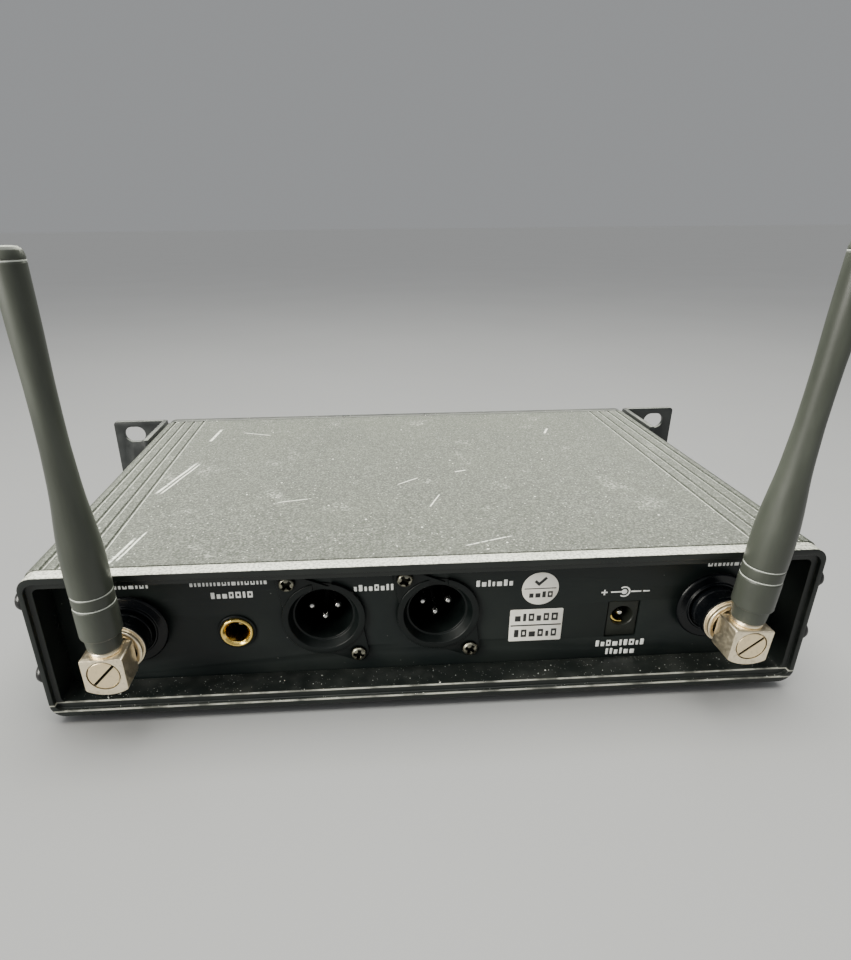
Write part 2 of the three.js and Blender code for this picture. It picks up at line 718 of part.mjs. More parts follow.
function addElectronics(unit) {
  const boardEdge = HALF_WIDTH - SIDE_WALL - GAP;
  const boardRange = [BOARD_TOP - BOARD_THICKNESS, BOARD_TOP];
  place(unit, 'main_board', box([-boardEdge, boardEdge], [-54, 52], boardRange), 'board');
  place(unit, 'radio_can_a', radioCan(-68), 'tinplate');
  place(unit, 'radio_can_b', radioCan(68), 'tinplate');
  place(unit, 'regulator_heatsink', heatsinkGeometry(), 'aluminium');
  place(unit, 'coax_a', coaxGeometry('a'), 'greyCable');
  place(unit, 'coax_b', coaxGeometry('b'), 'greyCable');
  place(unit, 'ribbon_cable', ribbonGeometry(), 'greyCable');
  place(unit, 'front_board', frontBoardGeometry(), 'board');
}

// ---------------------------------------------------------------- front controls

function addPowerSwitch(unit) {
  const flangeFront = FASCIA_Y + FASCIA_THICKNESS + GAP;
  const travel = 2.5;
  const plungerEnd = flangeFront + 1 + travel + 0.3;
  const button = join(
    alongY(roundedRect(13.2, 8.2, 1.9), FASCIA_Y - 4, flangeFront + 0.5),
    alongY(roundedRect(15.4, 10.4, 1.9), flangeFront, flangeFront + 1),
    bar(1.6, flangeFront + 0.5, plungerEnd, 0, 0, 12),
  );
  place(unit, 'power_button', button, 'blackPlastic').position.x = POWER_X;
  const bodyFront = plungerEnd - 0.2;
  const bodyRear = FRONT_BOARD_Y - 0.1;
  const body = cut(
    box(around(0, 12), [bodyFront, bodyRear], around(0, 9)),
    bar(2, bodyFront - 1, plungerEnd + travel + 0.3, 0, 0, 12),
  );
  place(unit, 'power_switch', body, 'blackPlastic').position.x = POWER_X;
}

function addVolumeControl(unit, channel) {
  const control = new THREE.Group();
  control.position.x = KNOB_X[channel];
  unit.add(control);
  const potRear = FRONT_BOARD_Y - 0.1;
  const potFront = FASCIA_Y + FASCIA_THICKNESS + 0.6;
  const bushingFront = FASCIA_Y - 2.6;
  const shaftRear = potRear - 1;
  const pot = cut(
    join(
      box(around(0, 11), [potFront, potRear], around(0, 11)),
      bar(3.4, bushingFront, potFront + 0.5),
    ),
    bar(2.9, bushingFront - 1, shaftRear + GAP, 0, 0, 20),
  );
  place(control, `volume_pot_${channel}`, pot, 'blackPlastic');

  const shaftFront = KNOB_FRONT_Y + 5;
  const shaft = bar(2.6, shaftFront, shaftRear, 0, 0, 20);
  place(control, `volume_shaft_${channel}`, shaft, 'aluminium');

  const skirt = FASCIA_Y - 1.2;
  const web = FASCIA_Y - 3.4;
  const profile = [
    [0, KNOB_FRONT_Y], [6, KNOB_FRONT_Y], [6.8, KNOB_FRONT_Y + 0.8], [7.5, skirt],
    [5.4, skirt], [5.4, web], [2.9, web], [2.9, shaftFront - GAP], [0, shaftFront - GAP],
  ];
  const pointer = box([-0.5, 0.5], [KNOB_FRONT_Y - 1, KNOB_FRONT_Y + 0.6], [2, 8]);
  place(control, `volume_knob_${channel}`, cut(turned(profile), pointer), 'blackPlastic');
}

// ---------------------------------------------------------------- assembly

const receiver = new THREE.Group();
const unit = new THREE.Group();
unit.position.z = FOOT_HEIGHT + HALF_HEIGHT;
receiver.add(unit);

addCase(unit);
addRearBezel(unit);
addRearPanel(unit);
addFrontBezel(unit);
addFascia(unit);
addRackEars(unit);
addLineJack(unit);
addPowerInlet(unit);
addElectronics(unit);
addPowerSwitch(unit);
for (const channel of ['a', 'b']) {
  addXlr(unit, channel);
  addAntenna(unit, channel);
  addVolumeControl(unit, channel);
}

export default receiver;
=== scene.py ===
"""A half-rack wireless receiver seen from behind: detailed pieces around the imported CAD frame.

Builders take millimetres in the row frame: X across, +Y out of the rear panel, +Z up.
"""
import math
import random

import bmesh
import bpy
from mathutils import Matrix, Vector


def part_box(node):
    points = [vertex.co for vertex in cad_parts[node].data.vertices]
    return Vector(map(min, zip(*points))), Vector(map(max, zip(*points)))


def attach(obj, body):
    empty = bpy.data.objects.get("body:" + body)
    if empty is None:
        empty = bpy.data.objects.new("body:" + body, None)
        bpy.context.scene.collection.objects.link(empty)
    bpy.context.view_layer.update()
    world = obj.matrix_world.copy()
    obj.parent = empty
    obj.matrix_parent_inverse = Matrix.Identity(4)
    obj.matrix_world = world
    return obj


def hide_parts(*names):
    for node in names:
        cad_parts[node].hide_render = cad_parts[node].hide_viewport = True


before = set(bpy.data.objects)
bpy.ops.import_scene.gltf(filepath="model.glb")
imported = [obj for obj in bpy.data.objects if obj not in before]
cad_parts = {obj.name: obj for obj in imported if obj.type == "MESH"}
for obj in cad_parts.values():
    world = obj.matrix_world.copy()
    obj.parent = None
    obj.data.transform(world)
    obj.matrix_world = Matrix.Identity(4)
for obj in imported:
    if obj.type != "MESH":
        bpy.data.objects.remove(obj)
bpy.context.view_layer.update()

MM = 0.001
QUARTER = math.pi / 2
CHANNELS = ("a", "b")
SIDE = {"a": -1, "b": 1}

# ---- Places, from the frame


def node_box(node):
    low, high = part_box(node)
    return low / MM, high / MM


def node_centre(node):
    low, high = node_box(node)
    return (low + high) / 2


def middle_xz(node):
    low, high = node_box(node)
    return (low.x + high.x) / 2, (low.z + high.z) / 2


BEZEL_LOW, BEZEL_HIGH = node_box("rear_bezel")
HALF_W = BEZEL_HIGH.x
HALF_H = (BEZEL_HIGH.z - BEZEL_LOW.z) / 2
MID_Z = (BEZEL_HIGH.z + BEZEL_LOW.z) / 2
REAR_Y = BEZEL_HIGH.y
FRONT_Y = node_box("front_bezel")[0].y
PANEL_Y = node_box("rear_panel")[1].y
SHELL_END = node_box("case_top")[1].y
XLR_RISE = 0.3
XLR_AT = {c: Vector((node_centre(f"xlr_{c}_insert").x, 0, MID_Z + XLR_RISE)) for c in CHANNELS}
XLR_SCREW_X, XLR_SCREW_Z = 9.5, 12
PIN_REACH = 3.81
BNC_X = {c: node_centre(f"bnc_{c}_socket").x for c in CHANNELS}
TILT = {"a": math.radians(-3.5), "b": math.radians(1)}
ELBOW_REAR = node_box("antenna_b_cap")[1].y
WHIP_Y = node_centre("antenna_b_whip").y
BLOCK_TOP = 4.6
FASCIA_Y = node_box("front_panel")[0].y

# ---- Camera, light, floor

CAMERA_AT = Vector((17.88, REAR_Y + 136.36, BEZEL_LOW.z + 123.95))
CAMERA_YAW = math.radians(3.137)
CAMERA_PITCH = math.radians(22.568)
CAMERA_ROLL = math.radians(-0.578)
FOCAL_MM = 22.96
LENS_SHIFT = (0.0329, 0.0018)


def add_object(name, data):
    thing = bpy.data.objects.new(name, data)
    bpy.context.scene.collection.objects.link(thing)
    return thing


def add_camera():
    """The photo's camera, worked out from the object's own straight edges."""
    data = bpy.data.cameras.new("photo_camera")
    data.sensor_width = 36
    data.lens = FOCAL_MM
    data.shift_x, data.shift_y = LENS_SHIFT
    data.clip_start = 0.01
    camera = add_object("photo_camera", data)
    forward = Vector((-math.sin(CAMERA_YAW) * math.cos(CAMERA_PITCH),
                      -math.cos(CAMERA_YAW) * math.cos(CAMERA_PITCH),
                      -math.sin(CAMERA_PITCH)))
    level = Vector((-math.cos(CAMERA_YAW), math.sin(CAMERA_YAW), 0))
    up = level.cross(forward)
    right = math.cos(CAMERA_ROLL) * level + math.sin(CAMERA_ROLL) * up
    up = math.cos(CAMERA_ROLL) * up - math.sin(CAMERA_ROLL) * level
    turn = Matrix((right, up, -forward)).transposed().to_4x4()
    camera.matrix_world = Matrix.Translation(CAMERA_AT * MM) @ turn
    bpy.context.scene.camera = camera


def add_light(name, at, target, size, energy, colour, spared=None):
    """An area light aimed at a target, unseen by the camera; a spared object stays unlit by it."""
    data = bpy.data.lights.new(name, "AREA")
    data.shape = "RECTANGLE"
    data.size, data.size_y = size
    data.energy = energy
    data.color = colour
    light = add_object(name, data)
    light.visible_camera = False
    light.location = at
    direction = Vector(target) - Vector(at)
    light.rotation_euler = direction.to_track_quat("-Z", "Y").to_euler()
    if spared:
        receivers = bpy.data.collections.new(f"{name}_spared")
        receivers.objects.link(spared)
        receivers.collection_objects[0].light_linking.link_state = "EXCLUDE"
        light.light_linking.receiver_collection = receivers


def add_studio(floor):
    """A grey surround and soft lights; the strong ones leave the floor alone."""
    world = bpy.data.worlds.new("studio")
    world.use_nodes = True
    background = world.node_tree.nodes["Background"]
    background.inputs["Color"].default_value = (0.82, 0.84, 0.86, 1)
    background.inputs["Strength"].default_value = 0.38
    bpy.context.scene.world = world
    # Wide and weak, from straight above: it evens the floor out to the horizon.
    sky = bpy.data.lights.new("sky", "SUN")
    sky.energy, sky.angle = 0.6, 1.3
    add_object("sky", sky)
    add_light("back_softbox", (0, -1.02, 0.98), (0, 0, 0.05), (2.2, 0.95), 60, (0.98, 1, 0.85), floor)
    add_light("top_softbox", (0, 0.05, 0.7), (0, 0, 0), (0.7, 0.6), 6, (1, 1, 0.94))
    add_light("side_fill", (0.55, 0.34, 0.32), (-0.06, 0.07, 0.06), (0.4, 0.4), 9, (1, 0.98, 0.9), floor)


# ---- Meshes

# Stands a shape that is laid out along +Y up along +Z.
UPRIGHT = Matrix.Rotation(QUARTER, 4, "X")


def shift(x, y, z):
    return Matrix.Translation((x, y, z))


def spin(angle):
    return Matrix.Rotation(angle, 4, "Y")


def raised(start, profile):
    """A (radius, y) profile whose y is counted from start."""
    return [(radius, start + y) for radius, y in profile]


def as_mesh(name, bm):
    """A bmesh's faces as a mesh; the bmesh is used up."""
    mesh = bpy.data.meshes.new(name)
    bm.to_mesh(mesh)
    bm.free()
    return mesh


def as_bmesh(mesh):
    """A mesh's faces as a bmesh; the mesh is used up."""
    bm = bmesh.new()
    bm.from_mesh(mesh)
    bpy.data.meshes.remove(mesh)
    return bm


def evaluated_mesh(holder):
    """An object's mesh with its modifiers or curve settings applied."""
    depsgraph = bpy.context.evaluated_depsgraph_get()
    return bpy.data.meshes.new_from_object(holder.evaluated_get(depsgraph))


def add_piece(name, bm, material, replaces=(), body="case", sharp_degrees=32):
    """Turns a bmesh in millimetres into a smooth-shaded piece that rides on a body."""
    bmesh.ops.remove_doubles(bm, verts=bm.verts, dist=1e-5)
    bmesh.ops.recalc_face_normals(bm, faces=bm.faces)
    mesh = as_mesh(name, bm)
    mesh.transform(Matrix.Scale(MM, 4))
    mesh.polygons.foreach_set("use_smooth", [True] * len(mesh.polygons))
    mesh.set_sharp_from_angle(angle=math.radians(sharp_degrees))
    mesh.materials.append(material)
    piece = add_object(name, mesh)
    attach(piece, body)
    if replaces:
        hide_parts(*replaces)


def rounded(points, radius, closed=False, steps=3, least_degrees=14):
    """An outline with each real corner swapped for a short curve."""
    corners = [Vector(point) for point in points]
    result = []
    for index, corner in enumerate(corners):
        before = corners[index - 1] - corner
        after = corners[(index + 1) % len(corners)] - corner
        loose = not closed and index in (0, len(corners) - 1)
        if loose or math.pi - before.angle(after) < math.radians(least_degrees):
            result.append(corner)
            continue
        reach = min(radius, 0.45 * before.length, 0.45 * after.length)
        start = corner + before.normalized() * reach
        end = corner + after.normalized() * reach
        for step in range(steps + 1):
            t = step / steps
            result.append((1 - t) ** 2 * start + 2 * t * (1 - t) * corner + t * t * end)
    return result


def skin(bm, rings, closed):
    """Joins a stack of vertex rings with faces; a ring may be a single vertex."""
    pairs = list(zip(rings, rings[1:]))
    if closed:
        pairs.append((rings[-1], rings[0]))
    for ring, following in pairs:
        for index in range(max(len(ring), len(following))):
            corners = [loop[step % len(loop)] for loop, step in
                       ((ring, index), (ring, index + 1), (following, index + 1), (following, index))]
            unique = list(dict.fromkeys(corners))
            if len(unique) > 2:
                bm.faces.new(unique)


def turned(profile, segments=64, corner=0.15, closed=False, matrix=Matrix()):
    """Revolves (radius, y) points about the Y axis, with its corners rounded."""
    bm = bmesh.new()
    rings = []
    for radius, y in rounded(profile, corner, closed):
        count = segments if radius > 1e-6 else 1
        ring = []
        for index in range(count):
            angle = 2 * math.pi * index / segments
            ring.append(bm.verts.new((radius * math.cos(angle), y, radius * math.sin(angle))))
        rings.append(ring)
    skin(bm, rings, closed)
    bm.transform(matrix)
    return bm


def arc(cx, cz, radius, start, end, steps):
    angles = [start + (end - start) * index / steps for index in range(steps + 1)]
    return [(cx + radius * math.cos(angle), cz + radius * math.sin(angle)) for angle in angles]


def circle(radius, cx=0.0, cz=0.0, count=48):
    return arc(cx, cz, radius, 0, 2 * math.pi, count)[:-1]


def rounded_rect(width, height, radius, cx=0.0, cz=0.0, steps=6):
    right, left = cx + width / 2 - radius, cx - width / 2 + radius
    top, bottom = cz + height / 2 - radius, cz - height / 2 + radius
    outline = []
    for index, corner in enumerate(((right, top), (left, top), (left, bottom), (right, bottom))):
        outline += arc(*corner, radius, index * QUARTER, (index + 1) * QUARTER, steps)
    return outline


def plate(outlines, y0, y1, edge):
    """A plate from y0 to y1 with its outer outline first, holes after it, and rounded edges."""
    data = bpy.data.curves.new("plate", "CURVE")
    data.dimensions = "2D"
    data.fill_mode = "BOTH"
    data.extrude = (y1 - y0) / 2 - edge
    data.bevel_depth = edge
    data.bevel_resolution = 1
    data.offset = -edge
    for outline in outlines:
        spline = data.splines.new("POLY")
        spline.points.add(len(outline) - 1)
        spline.use_cyclic_u = True
        for point, (x, z) in zip(spline.points, outline):
            point.co = (x, z, 0, 1)
    holder = add_object("plate", data)
    bm = as_bmesh(evaluated_mesh(holder))
    bpy.data.objects.remove(holder)
    bpy.data.curves.remove(data)
    bmesh.ops.remove_doubles(bm, verts=bm.verts, dist=1e-4)
    bm.transform(shift(0, (y0 + y1) / 2, 0) @ UPRIGHT)
    return bm


def bridged(loops, closed=True):
    """Skins a stack of equal loops of 3-D points, joined end to end or else capped."""
    bm = bmesh.new()
    rings = [[bm.verts.new(point) for point in loop] for loop in loops]
    skin(bm, rings, closed)
    if not closed:
        bm.faces.new(rings[0])
        bm.faces.new(rings[-1])
    return bm


def block(x_range, y_range, z_range, edge=0.3, segments=2, matrix=Matrix()):
    """A box with its edges bevelled."""
    bm = bmesh.new()
    bmesh.ops.create_cube(bm, size=1)
    spans = [high - low for low, high in (x_range, y_range, z_range)]
    middle = [(high + low) / 2 for low, high in (x_range, y_range, z_range)]
    bm.transform(Matrix.Translation(middle) @ Matrix.Diagonal((*spans, 1)))
    bmesh.ops.bevel(bm, geom=bm.edges[:], offset=edge, segments=segments, affect="EDGES", profile=0.5)
    bm.transform(matrix)
    return bm


def merged(*parts):
    """One bmesh from several."""
    whole = bmesh.new()
    for part in parts:
        scratch = as_mesh("scratch", part)
        whole.from_mesh(scratch)
        bpy.data.meshes.remove(scratch)
    return whole


def carved(base, tools, matrix=Matrix()):
    """The base with each tool's volume cut out of it by an exact boolean, then moved."""
    holders = []
    for part in [base, *tools]:
        bmesh.ops.recalc_face_normals(part, faces=part.faces)
        holders.append(add_object("carve", as_mesh("carve", part)))
    for tool in holders[1:]:
        modifier = holders[0].modifiers.new("cut", "BOOLEAN")
        modifier.operation = "DIFFERENCE"
        modifier.solver = "EXACT"
        modifier.object = tool
    bm = as_bmesh(evaluated_mesh(holders[0]))
    for holder in holders:
        data = holder.data
        bpy.data.objects.remove(holder)
        bpy.data.meshes.remove(data)
    bm.transform(matrix)
    return bm


# ---- Shader building


class Shader:
    """A Principled material whose patterns are laid out in metres on the part itself."""

    def __init__(self, name, specular=0.5, metallic=0.0):
        self.material = bpy.data.materials.new(name)
        self.material.use_nodes = True
        self.tree = self.material.node_tree
        self.principled = self.tree.nodes["Principled BSDF"]
        self.set("Specular IOR Level", specular)
        self.set("Metallic", metallic)
        self.place = self.node("TexCoord", "Object")

    def node(self, kind, output, inputs=None, **settings):
        """The named output of a new shader node."""
        node = self.tree.nodes.new(f"ShaderNode{kind}")
        for name, value in settings.items():
            setattr(node, name, value)
        for name, value in (inputs or {}).items():
            self.feed(node.inputs[name], value)
        return node.outputs[output]

    def feed(self, socket, value):
        if isinstance(value, bpy.types.NodeSocket):
            self.tree.links.new(value, socket)
        else:
            socket.default_value = value

    def set(self, name, value):
        self.feed(self.principled.inputs[name], value)

    def stretched(self, scales):
        return self.node("Mapping", "Vector", {"Vector": self.place, "Scale": scales})

    def noise(self, size_mm, detail=2.0, vector=None, distortion=0.0):
        inputs = {"Vector": vector or self.place, "Scale": 1 / (size_mm * MM), "Detail": detail,
                  "Distortion": distortion}
        return self.node("TexNoise", "Fac", inputs)

    def cells(self, size_mm, feature="F1", output="Distance"):
        inputs = {"Vector": self.place, "Scale": 1 / (size_mm * MM)}
        return self.node("TexVoronoi", output, inputs, feature=feature)

    def math(self, operation, first, second=0.0):
        return self.node("Math", 0, {0: first, 1: second}, operation=operation)

    def times(self, first, second):
        return self.math("MULTIPLY", first, second)

    def most(self, first, second):
        return self.math("MAXIMUM", first, second)

    def off(self, value, middle):
        """How far a value lies from a middle value, on either side."""
        return self.math("ABSOLUTE", self.math("SUBTRACT", value, middle))

    def band(self, value, low, high, to_low=0.0, to_high=1.0):
        """Maps low..high to to_low..to_high, smoothly and clamped."""
        inputs = {"Value": value, "From Min": low, "From Max": high, "To Min": to_low, "To Max": to_high}
        return self.node("MapRange", "Result", inputs, interpolation_type="SMOOTHSTEP")

    def blend(self, factor, first, second):
        first, second = ((*end, 1) if isinstance(end, tuple) else end for end in (first, second))
        return self.node("Mix", 2, {"Factor": factor, 6: first, 7: second}, data_type="RGBA")

    def axis(self, name, vector=None):
        return self.node("SeparateXYZ", name, {0: vector or self.place})

    def up(self):
        """How far the surface faces upwards, 0 to 1."""
        return self.most(self.axis("Z", self.node("NewGeometry", "Normal")), 0.0)

    def finished(self, colour, roughness, height=None, depth_mm=0.0, strength=1.0):
        """The material, once its colour, roughness and relief are connected."""
        self.set("Base Color", colour)
        self.set("Roughness", roughness)
        if height:
            inputs = {"Height": height, "Strength": strength, "Distance": depth_mm * MM}
            self.set("Normal", self.node("Bump", "Normal", inputs))
        return self.material

    def vector_math(self, operation, first, second, output):
        return self.node("VectorMath", output, {0: first, 1: second}, operation=operation)

    def streak(self, start, end, width_mm, wobble_mm=0.4):
        """A mask along a line on the top cover that sways a little and fades at both ends."""
        begin, finish = Vector((*start, 0)) * MM, Vector((*end, 0)) * MM
        along = finish - begin
        length = along.length
        along.normalize()
        across = Vector((-along.y, along.x, 0))
        shifted = self.vector_math("SUBTRACT", self.place, begin, "Vector")
        run = self.vector_math("DOT_PRODUCT", shifted, along, "Value")
        aside = self.vector_math("DOT_PRODUCT", shifted, across, "Value")
        sway = self.times(self.math("SUBTRACT", self.noise(9), 0.5), wobble_mm * MM)
        off = self.math("ABSOLUTE", self.math("ADD", aside, sway))
        line = self.band(off, 0.3 * width_mm * MM, width_mm * MM, 1.0, 0.0)
        begins = self.band(run, 0, 0.1 * length)
        ends = self.band(run, 0.85 * length, length, 1.0, 0.0)
        return self.times(line, self.times(begins, ends))


# ---- Materials


def specks(s, size_mm, reach, share):
    """Sparse small spots: a cell's middle, on a given share of the cells."""
    spot = s.band(s.cells(size_mm), 0.5 * reach, reach, 1.0, 0.0)
    tint = s.node("SeparateColor", 0, {0: s.cells(size_mm, output="Color")})
    return s.times(spot, s.math("LESS_THAN", tint, share))


# Distances of the cover's grooves from its middle.
GROOVES = (88.5, 92.7, 97.0, 101.0)

# Scratches on the top cover: start, end and width, in millimetres from the row's origin.
SCRATCHES = (((86, 18), (78.5, -12), 0.6), ((84.4, 18.5), (77.2, -11), 0.42), ((84.8, 64), (82, 48), 0.55),
             ((83, 62), (80, 44), 0.4), ((79.5, -35), (77.8, -52), 0.8), ((-2.5, 34.5), (-7, 24.5), 0.28),
             ((6.5, 16), (-1.5, 10), 0.28), ((-14.5, 6), (-19, 4.5), 0.4), ((-58.3, -34), (-61.5, -41), 0.6),
             ((45.5, 27.5), (34, 25), 0.26), ((68, -46), (55, -41), 0.3), ((-9, 60), (-24, 55), 0.3))
# Painted shade for the deep parts of recesses and slits.
RECESS_SHADE = (0.012, 0.012, 0.010)


def groove_wear_and_highlight(s):
    """Pale lines along the inner edges of the cover's grooves: partly rubbed wear, partly a painted
    highlight where the edges catch the light.
    """
    across = s.math("ABSOLUTE", s.axis("X"))
    lines = 0.0
    for position in GROOVES:
        off = s.off(across, (position - 0.6) * MM)
        lines = s.most(lines, s.band(off, 0.1 * MM, 0.3 * MM, 1.0, 0.0))
    return s.times(lines, s.band(s.noise(2.5, 3), 0.3, 0.6, 0.25, 0.65))


def coat_material():
    """Charcoal textured powder coat, dusty and scratched on top, with painted glints on its raised grain."""
    s = Shader("charcoal_powder_coat")
    grain = s.noise(0.55)
    blotch = s.noise(30, 4, distortion=0.4)
    base = s.blend(s.band(blotch, 0.3, 0.75), (0.030, 0.034, 0.026), (0.052, 0.057, 0.045))
    # Painted highlight: the raised grains are painted a lighter grey, as glints where they catch the light.
    base = s.blend(s.band(grain, 0.54, 0.7, 0, 0.5), base, (0.16, 0.17, 0.135))
    small = s.times(specks(s, 1.3, 0.2, 0.2), 0.6)
    marks = s.most(specks(s, 5.5, 0.075, 0.4), small)
    smudge = s.band(s.noise(0.9, 4), 0.48, 0.62, 0, 0.24)
    patch = s.times(s.band(s.noise(13, 3), 0.60, 0.72), smudge)
    marks = s.most(marks, patch)
    for start, end, width in SCRATCHES:
        broken = s.times(s.streak(start, end, width), s.band(s.noise(1.2, 3), 0.3, 0.46))
        marks = s.most(marks, broken)
    # The groove lines are partly wear and partly a painted highlight on the groove edges.
    marks = s.most(marks, groove_wear_and_highlight(s))
    marks = s.times(marks, s.band(s.up(), 0.7, 0.9))
    s.set("Specular IOR Level", s.band(grain, 0.36, 0.66, 0.16, 0.62))
    relief = s.math("ADD", grain, s.times(s.noise(0.3), 0.4))
    colour = s.blend(marks, base, (0.72, 0.73, 0.67))
    return s.finished(colour, s.band(blotch, 0.25, 0.8, 0.40, 0.50), relief, 0.10, 0.9)


def lip_highlight(s):
    """Painted highlights: pale, broken lines on the two edges of the rear frame's lower lip, where they
    catch the light.
    """
    up, out = s.axis("Z"), s.axis("Y")
    painted_lines = 0.0
    # Each entry paints a highlight line along one lip edge.
    for height, depth in ((3.8, 1.3), (1.75, 0.0)):
        line = s.band(s.off(up, (BEZEL_LOW.z + height) * MM), 0.08 * MM, 0.3 * MM, 1.0, 0.0)
        edge = s.band(out, (REAR_Y - depth - 0.5) * MM, (REAR_Y - depth - 0.2) * MM)
        painted_lines = s.most(painted_lines, s.times(line, edge))
    return s.times(painted_lines, s.band(s.noise(7, 4), 0.35, 0.6, 0.15, 0.7))


def bezel_material():
    """Satin black frame: a painted pale sheen along its top, broken by the grain, painted highlight lines on
    its lower lip, and white dust motes on its floor.
    """
    s = Shader("satin_black_bezel")
    grain = s.noise(0.7, 3)
    blotch = s.noise(17, 3)
    level = s.band(s.up(), 0.6, 0.95)
    base = s.blend(s.band(blotch, 0.3, 0.7), (0.006, 0.008, 0.0075), (0.011, 0.0135, 0.012))
    small = s.times(specks(s, 0.55, 0.26, 0.2), 0.35)
    motes = s.most(small, s.most(specks(s, 1.2, 0.15, 0.22), specks(s, 3.1, 0.09, 0.4)))
    dust = s.most(s.band(s.noise(5, 5), 0.4, 0.8, 0, 0.02), motes)
    base = s.blend(s.times(dust, level), base, (0.85, 0.86, 0.8))
    # Painted reflection: the upward faces along the top of the rear frame are painted pale where they would
    # reflect the light.
    above = s.band(s.axis("Z"), MID_Z * MM, (MID_Z + 8) * MM)
    top = s.times(s.times(level, above), s.band(s.axis("Y"), 0, 10 * MM))
    painted_sheen = s.times(top, s.band(grain, 0.32, 0.62, 0.25, 1.0))
    painted_sheen = s.most(painted_sheen, lip_highlight(s))
    s.set("Specular IOR Level", s.band(top, 0, 1, 0.35, 0.9))
    roughness = s.band(s.math("ADD", blotch, dust), 0.3, 1.0, 0.27, 0.5)
    return s.finished(s.blend(painted_sheen, base, (0.55, 0.55, 0.48)), roughness, grain, 0.035, 0.6)


def panel_material():
    """Fine matte black paint with a trace of dust."""
    s = Shader("fine_black_paint", 0.3)
    blotch = s.noise(22, 3)
    base = s.blend(s.band(blotch, 0.3, 0.7), (0.0045, 0.0075, 0.0075), (0.010, 0.0135, 0.012))
    motes = s.times(specks(s, 4.0, 0.05, 0.3), 0.6)
    colour = s.blend(motes, base, (0.3, 0.3, 0.29))
    return s.finished(colour, s.band(blotch, 0.3, 0.7, 0.42, 0.55), s.noise(0.35), 0.02, 0.5)


def plastic_material(name, colour, roughness, grain_mm=0.5, specular=0.5):
    """Moulded black plastic: faint mottling, and grain in the surface."""
    s = Shader(name, specular)
    mottle = s.noise(6, 3)
    lighter = tuple(1.6 * channel + 0.001 for channel in colour)
    mottled = s.blend(s.band(mottle, 0.35, 0.7), colour, lighter)
    uneven = s.band(mottle, 0.3, 0.7, roughness - 0.06, roughness + 0.08)
    return s.finished(mottled, uneven, s.noise(grain_mm), 0.02, 0.45)


def metal_material(name, colour, dark, roughness, tarnish=0.5, patch_mm=2.0, shade_below_y=None):
    """Plated metal: fine scratches, tarnish in patches, and a painted shade below a y if one is given,
    darkening recesses and the part nearest the seat.
    """
    s = Shader(name, metallic=1.0)
    patch = s.band(s.noise(patch_mm, 4, distortion=0.3), 0.45, 0.75, 0, tarnish)
    hairline = s.noise(1.4, 3, vector=s.stretched((1, 1, 9)))
    tint = s.blend(patch, colour, dark)
    if shade_below_y is not None:
        # Painted shade: the surface below the given y, deep in a recess or near a seat, is painted dark.
        painted_shade = s.band(s.axis("Y"), (shade_below_y - 0.15) * MM, (shade_below_y + 0.15) * MM, 1.0, 0.0)
        tint = s.blend(painted_shade, tint, RECESS_SHADE)
    uneven = s.band(s.math("ADD", hairline, patch), 0.3, 1.1, roughness - 0.08, roughness + 0.16)
    return s.finished(tint, uneven, hairline, 0.01, 0.35)


def rubber_material(name, colour, roughness):
    """Semi-matte moulded rubber with handling marks."""
    s = Shader(name, 0.4)
    smear = s.noise(9, 4, vector=s.stretched((1, 1, 0.25)))
    lighter = tuple(1.6 * channel + 0.004 for channel in colour)
    smeared = s.blend(s.band(smear, 0.4, 0.75), colour, lighter)
    uneven = s.band(smear, 0.3, 0.75, roughness - 0.08, roughness + 0.08)
    relief = s.math("ADD", s.noise(0.4), s.times(smear, 0.3))
    return s.finished(smeared, uneven, relief, 0.02, 0.5)


def paper_material():
    """Slightly uneven off-white label stock."""
    s = Shader("label_paper", 0.4)
    fibre = s.noise(0.5, 4)
    stained = s.blend(s.band(s.noise(4, 3), 0.4, 0.8), (0.86, 0.84, 0.77), (0.74, 0.71, 0.62))
    return s.finished(stained, s.band(fibre, 0.3, 0.7, 0.45, 0.62), fibre, 0.01, 0.4)


def ink_material(name, colour):
    """Screen-printed ink, thin enough to let the surface show in places."""
    s = Shader(name, 0.4)
    worn = s.band(s.noise(0.8, 4), 0.5, 0.8, 0, 0.35)
    faded = tuple(0.55 * channel for channel in colour)
    return s.finished(s.blend(worn, colour, faded), 0.5, s.noise(0.25), 0.01, 0.4)


def board_material():
    """Green solder mask with faint copper tracks beneath."""
    s = Shader("solder_mask")
    tracks = s.band(s.cells(4.5, "DISTANCE_TO_EDGE"), 0.03, 0.07, 1.0, 0.0)
    green = s.blend(tracks, (0.015, 0.10, 0.04), (0.05, 0.24, 0.10))
    return s.finished(green, s.band(s.noise(8, 3), 0.3, 0.7, 0.28, 0.42), tracks, 0.03, 0.6)


def window_material():
    """Smoked acrylic with faint wipe marks."""
    s = Shader("smoked_acrylic", 0.6)
    wipes = s.noise(14, 3, vector=s.stretched((0.3, 1, 1)))
    colour = s.blend(wipes, (0.010, 0.012, 0.014), (0.02, 0.022, 0.025))
    return s.finished(colour, s.band(wipes, 0.35, 0.75, 0.05, 0.16))


def floor_material():
    """Plain pale floor, barely mottled."""
    s = Shader("pale_floor", 0.3)
    return s.finished(s.blend(s.noise(160, 3), (0.55, 0.55, 0.54), (0.60, 0.60, 0.59)), 0.55)


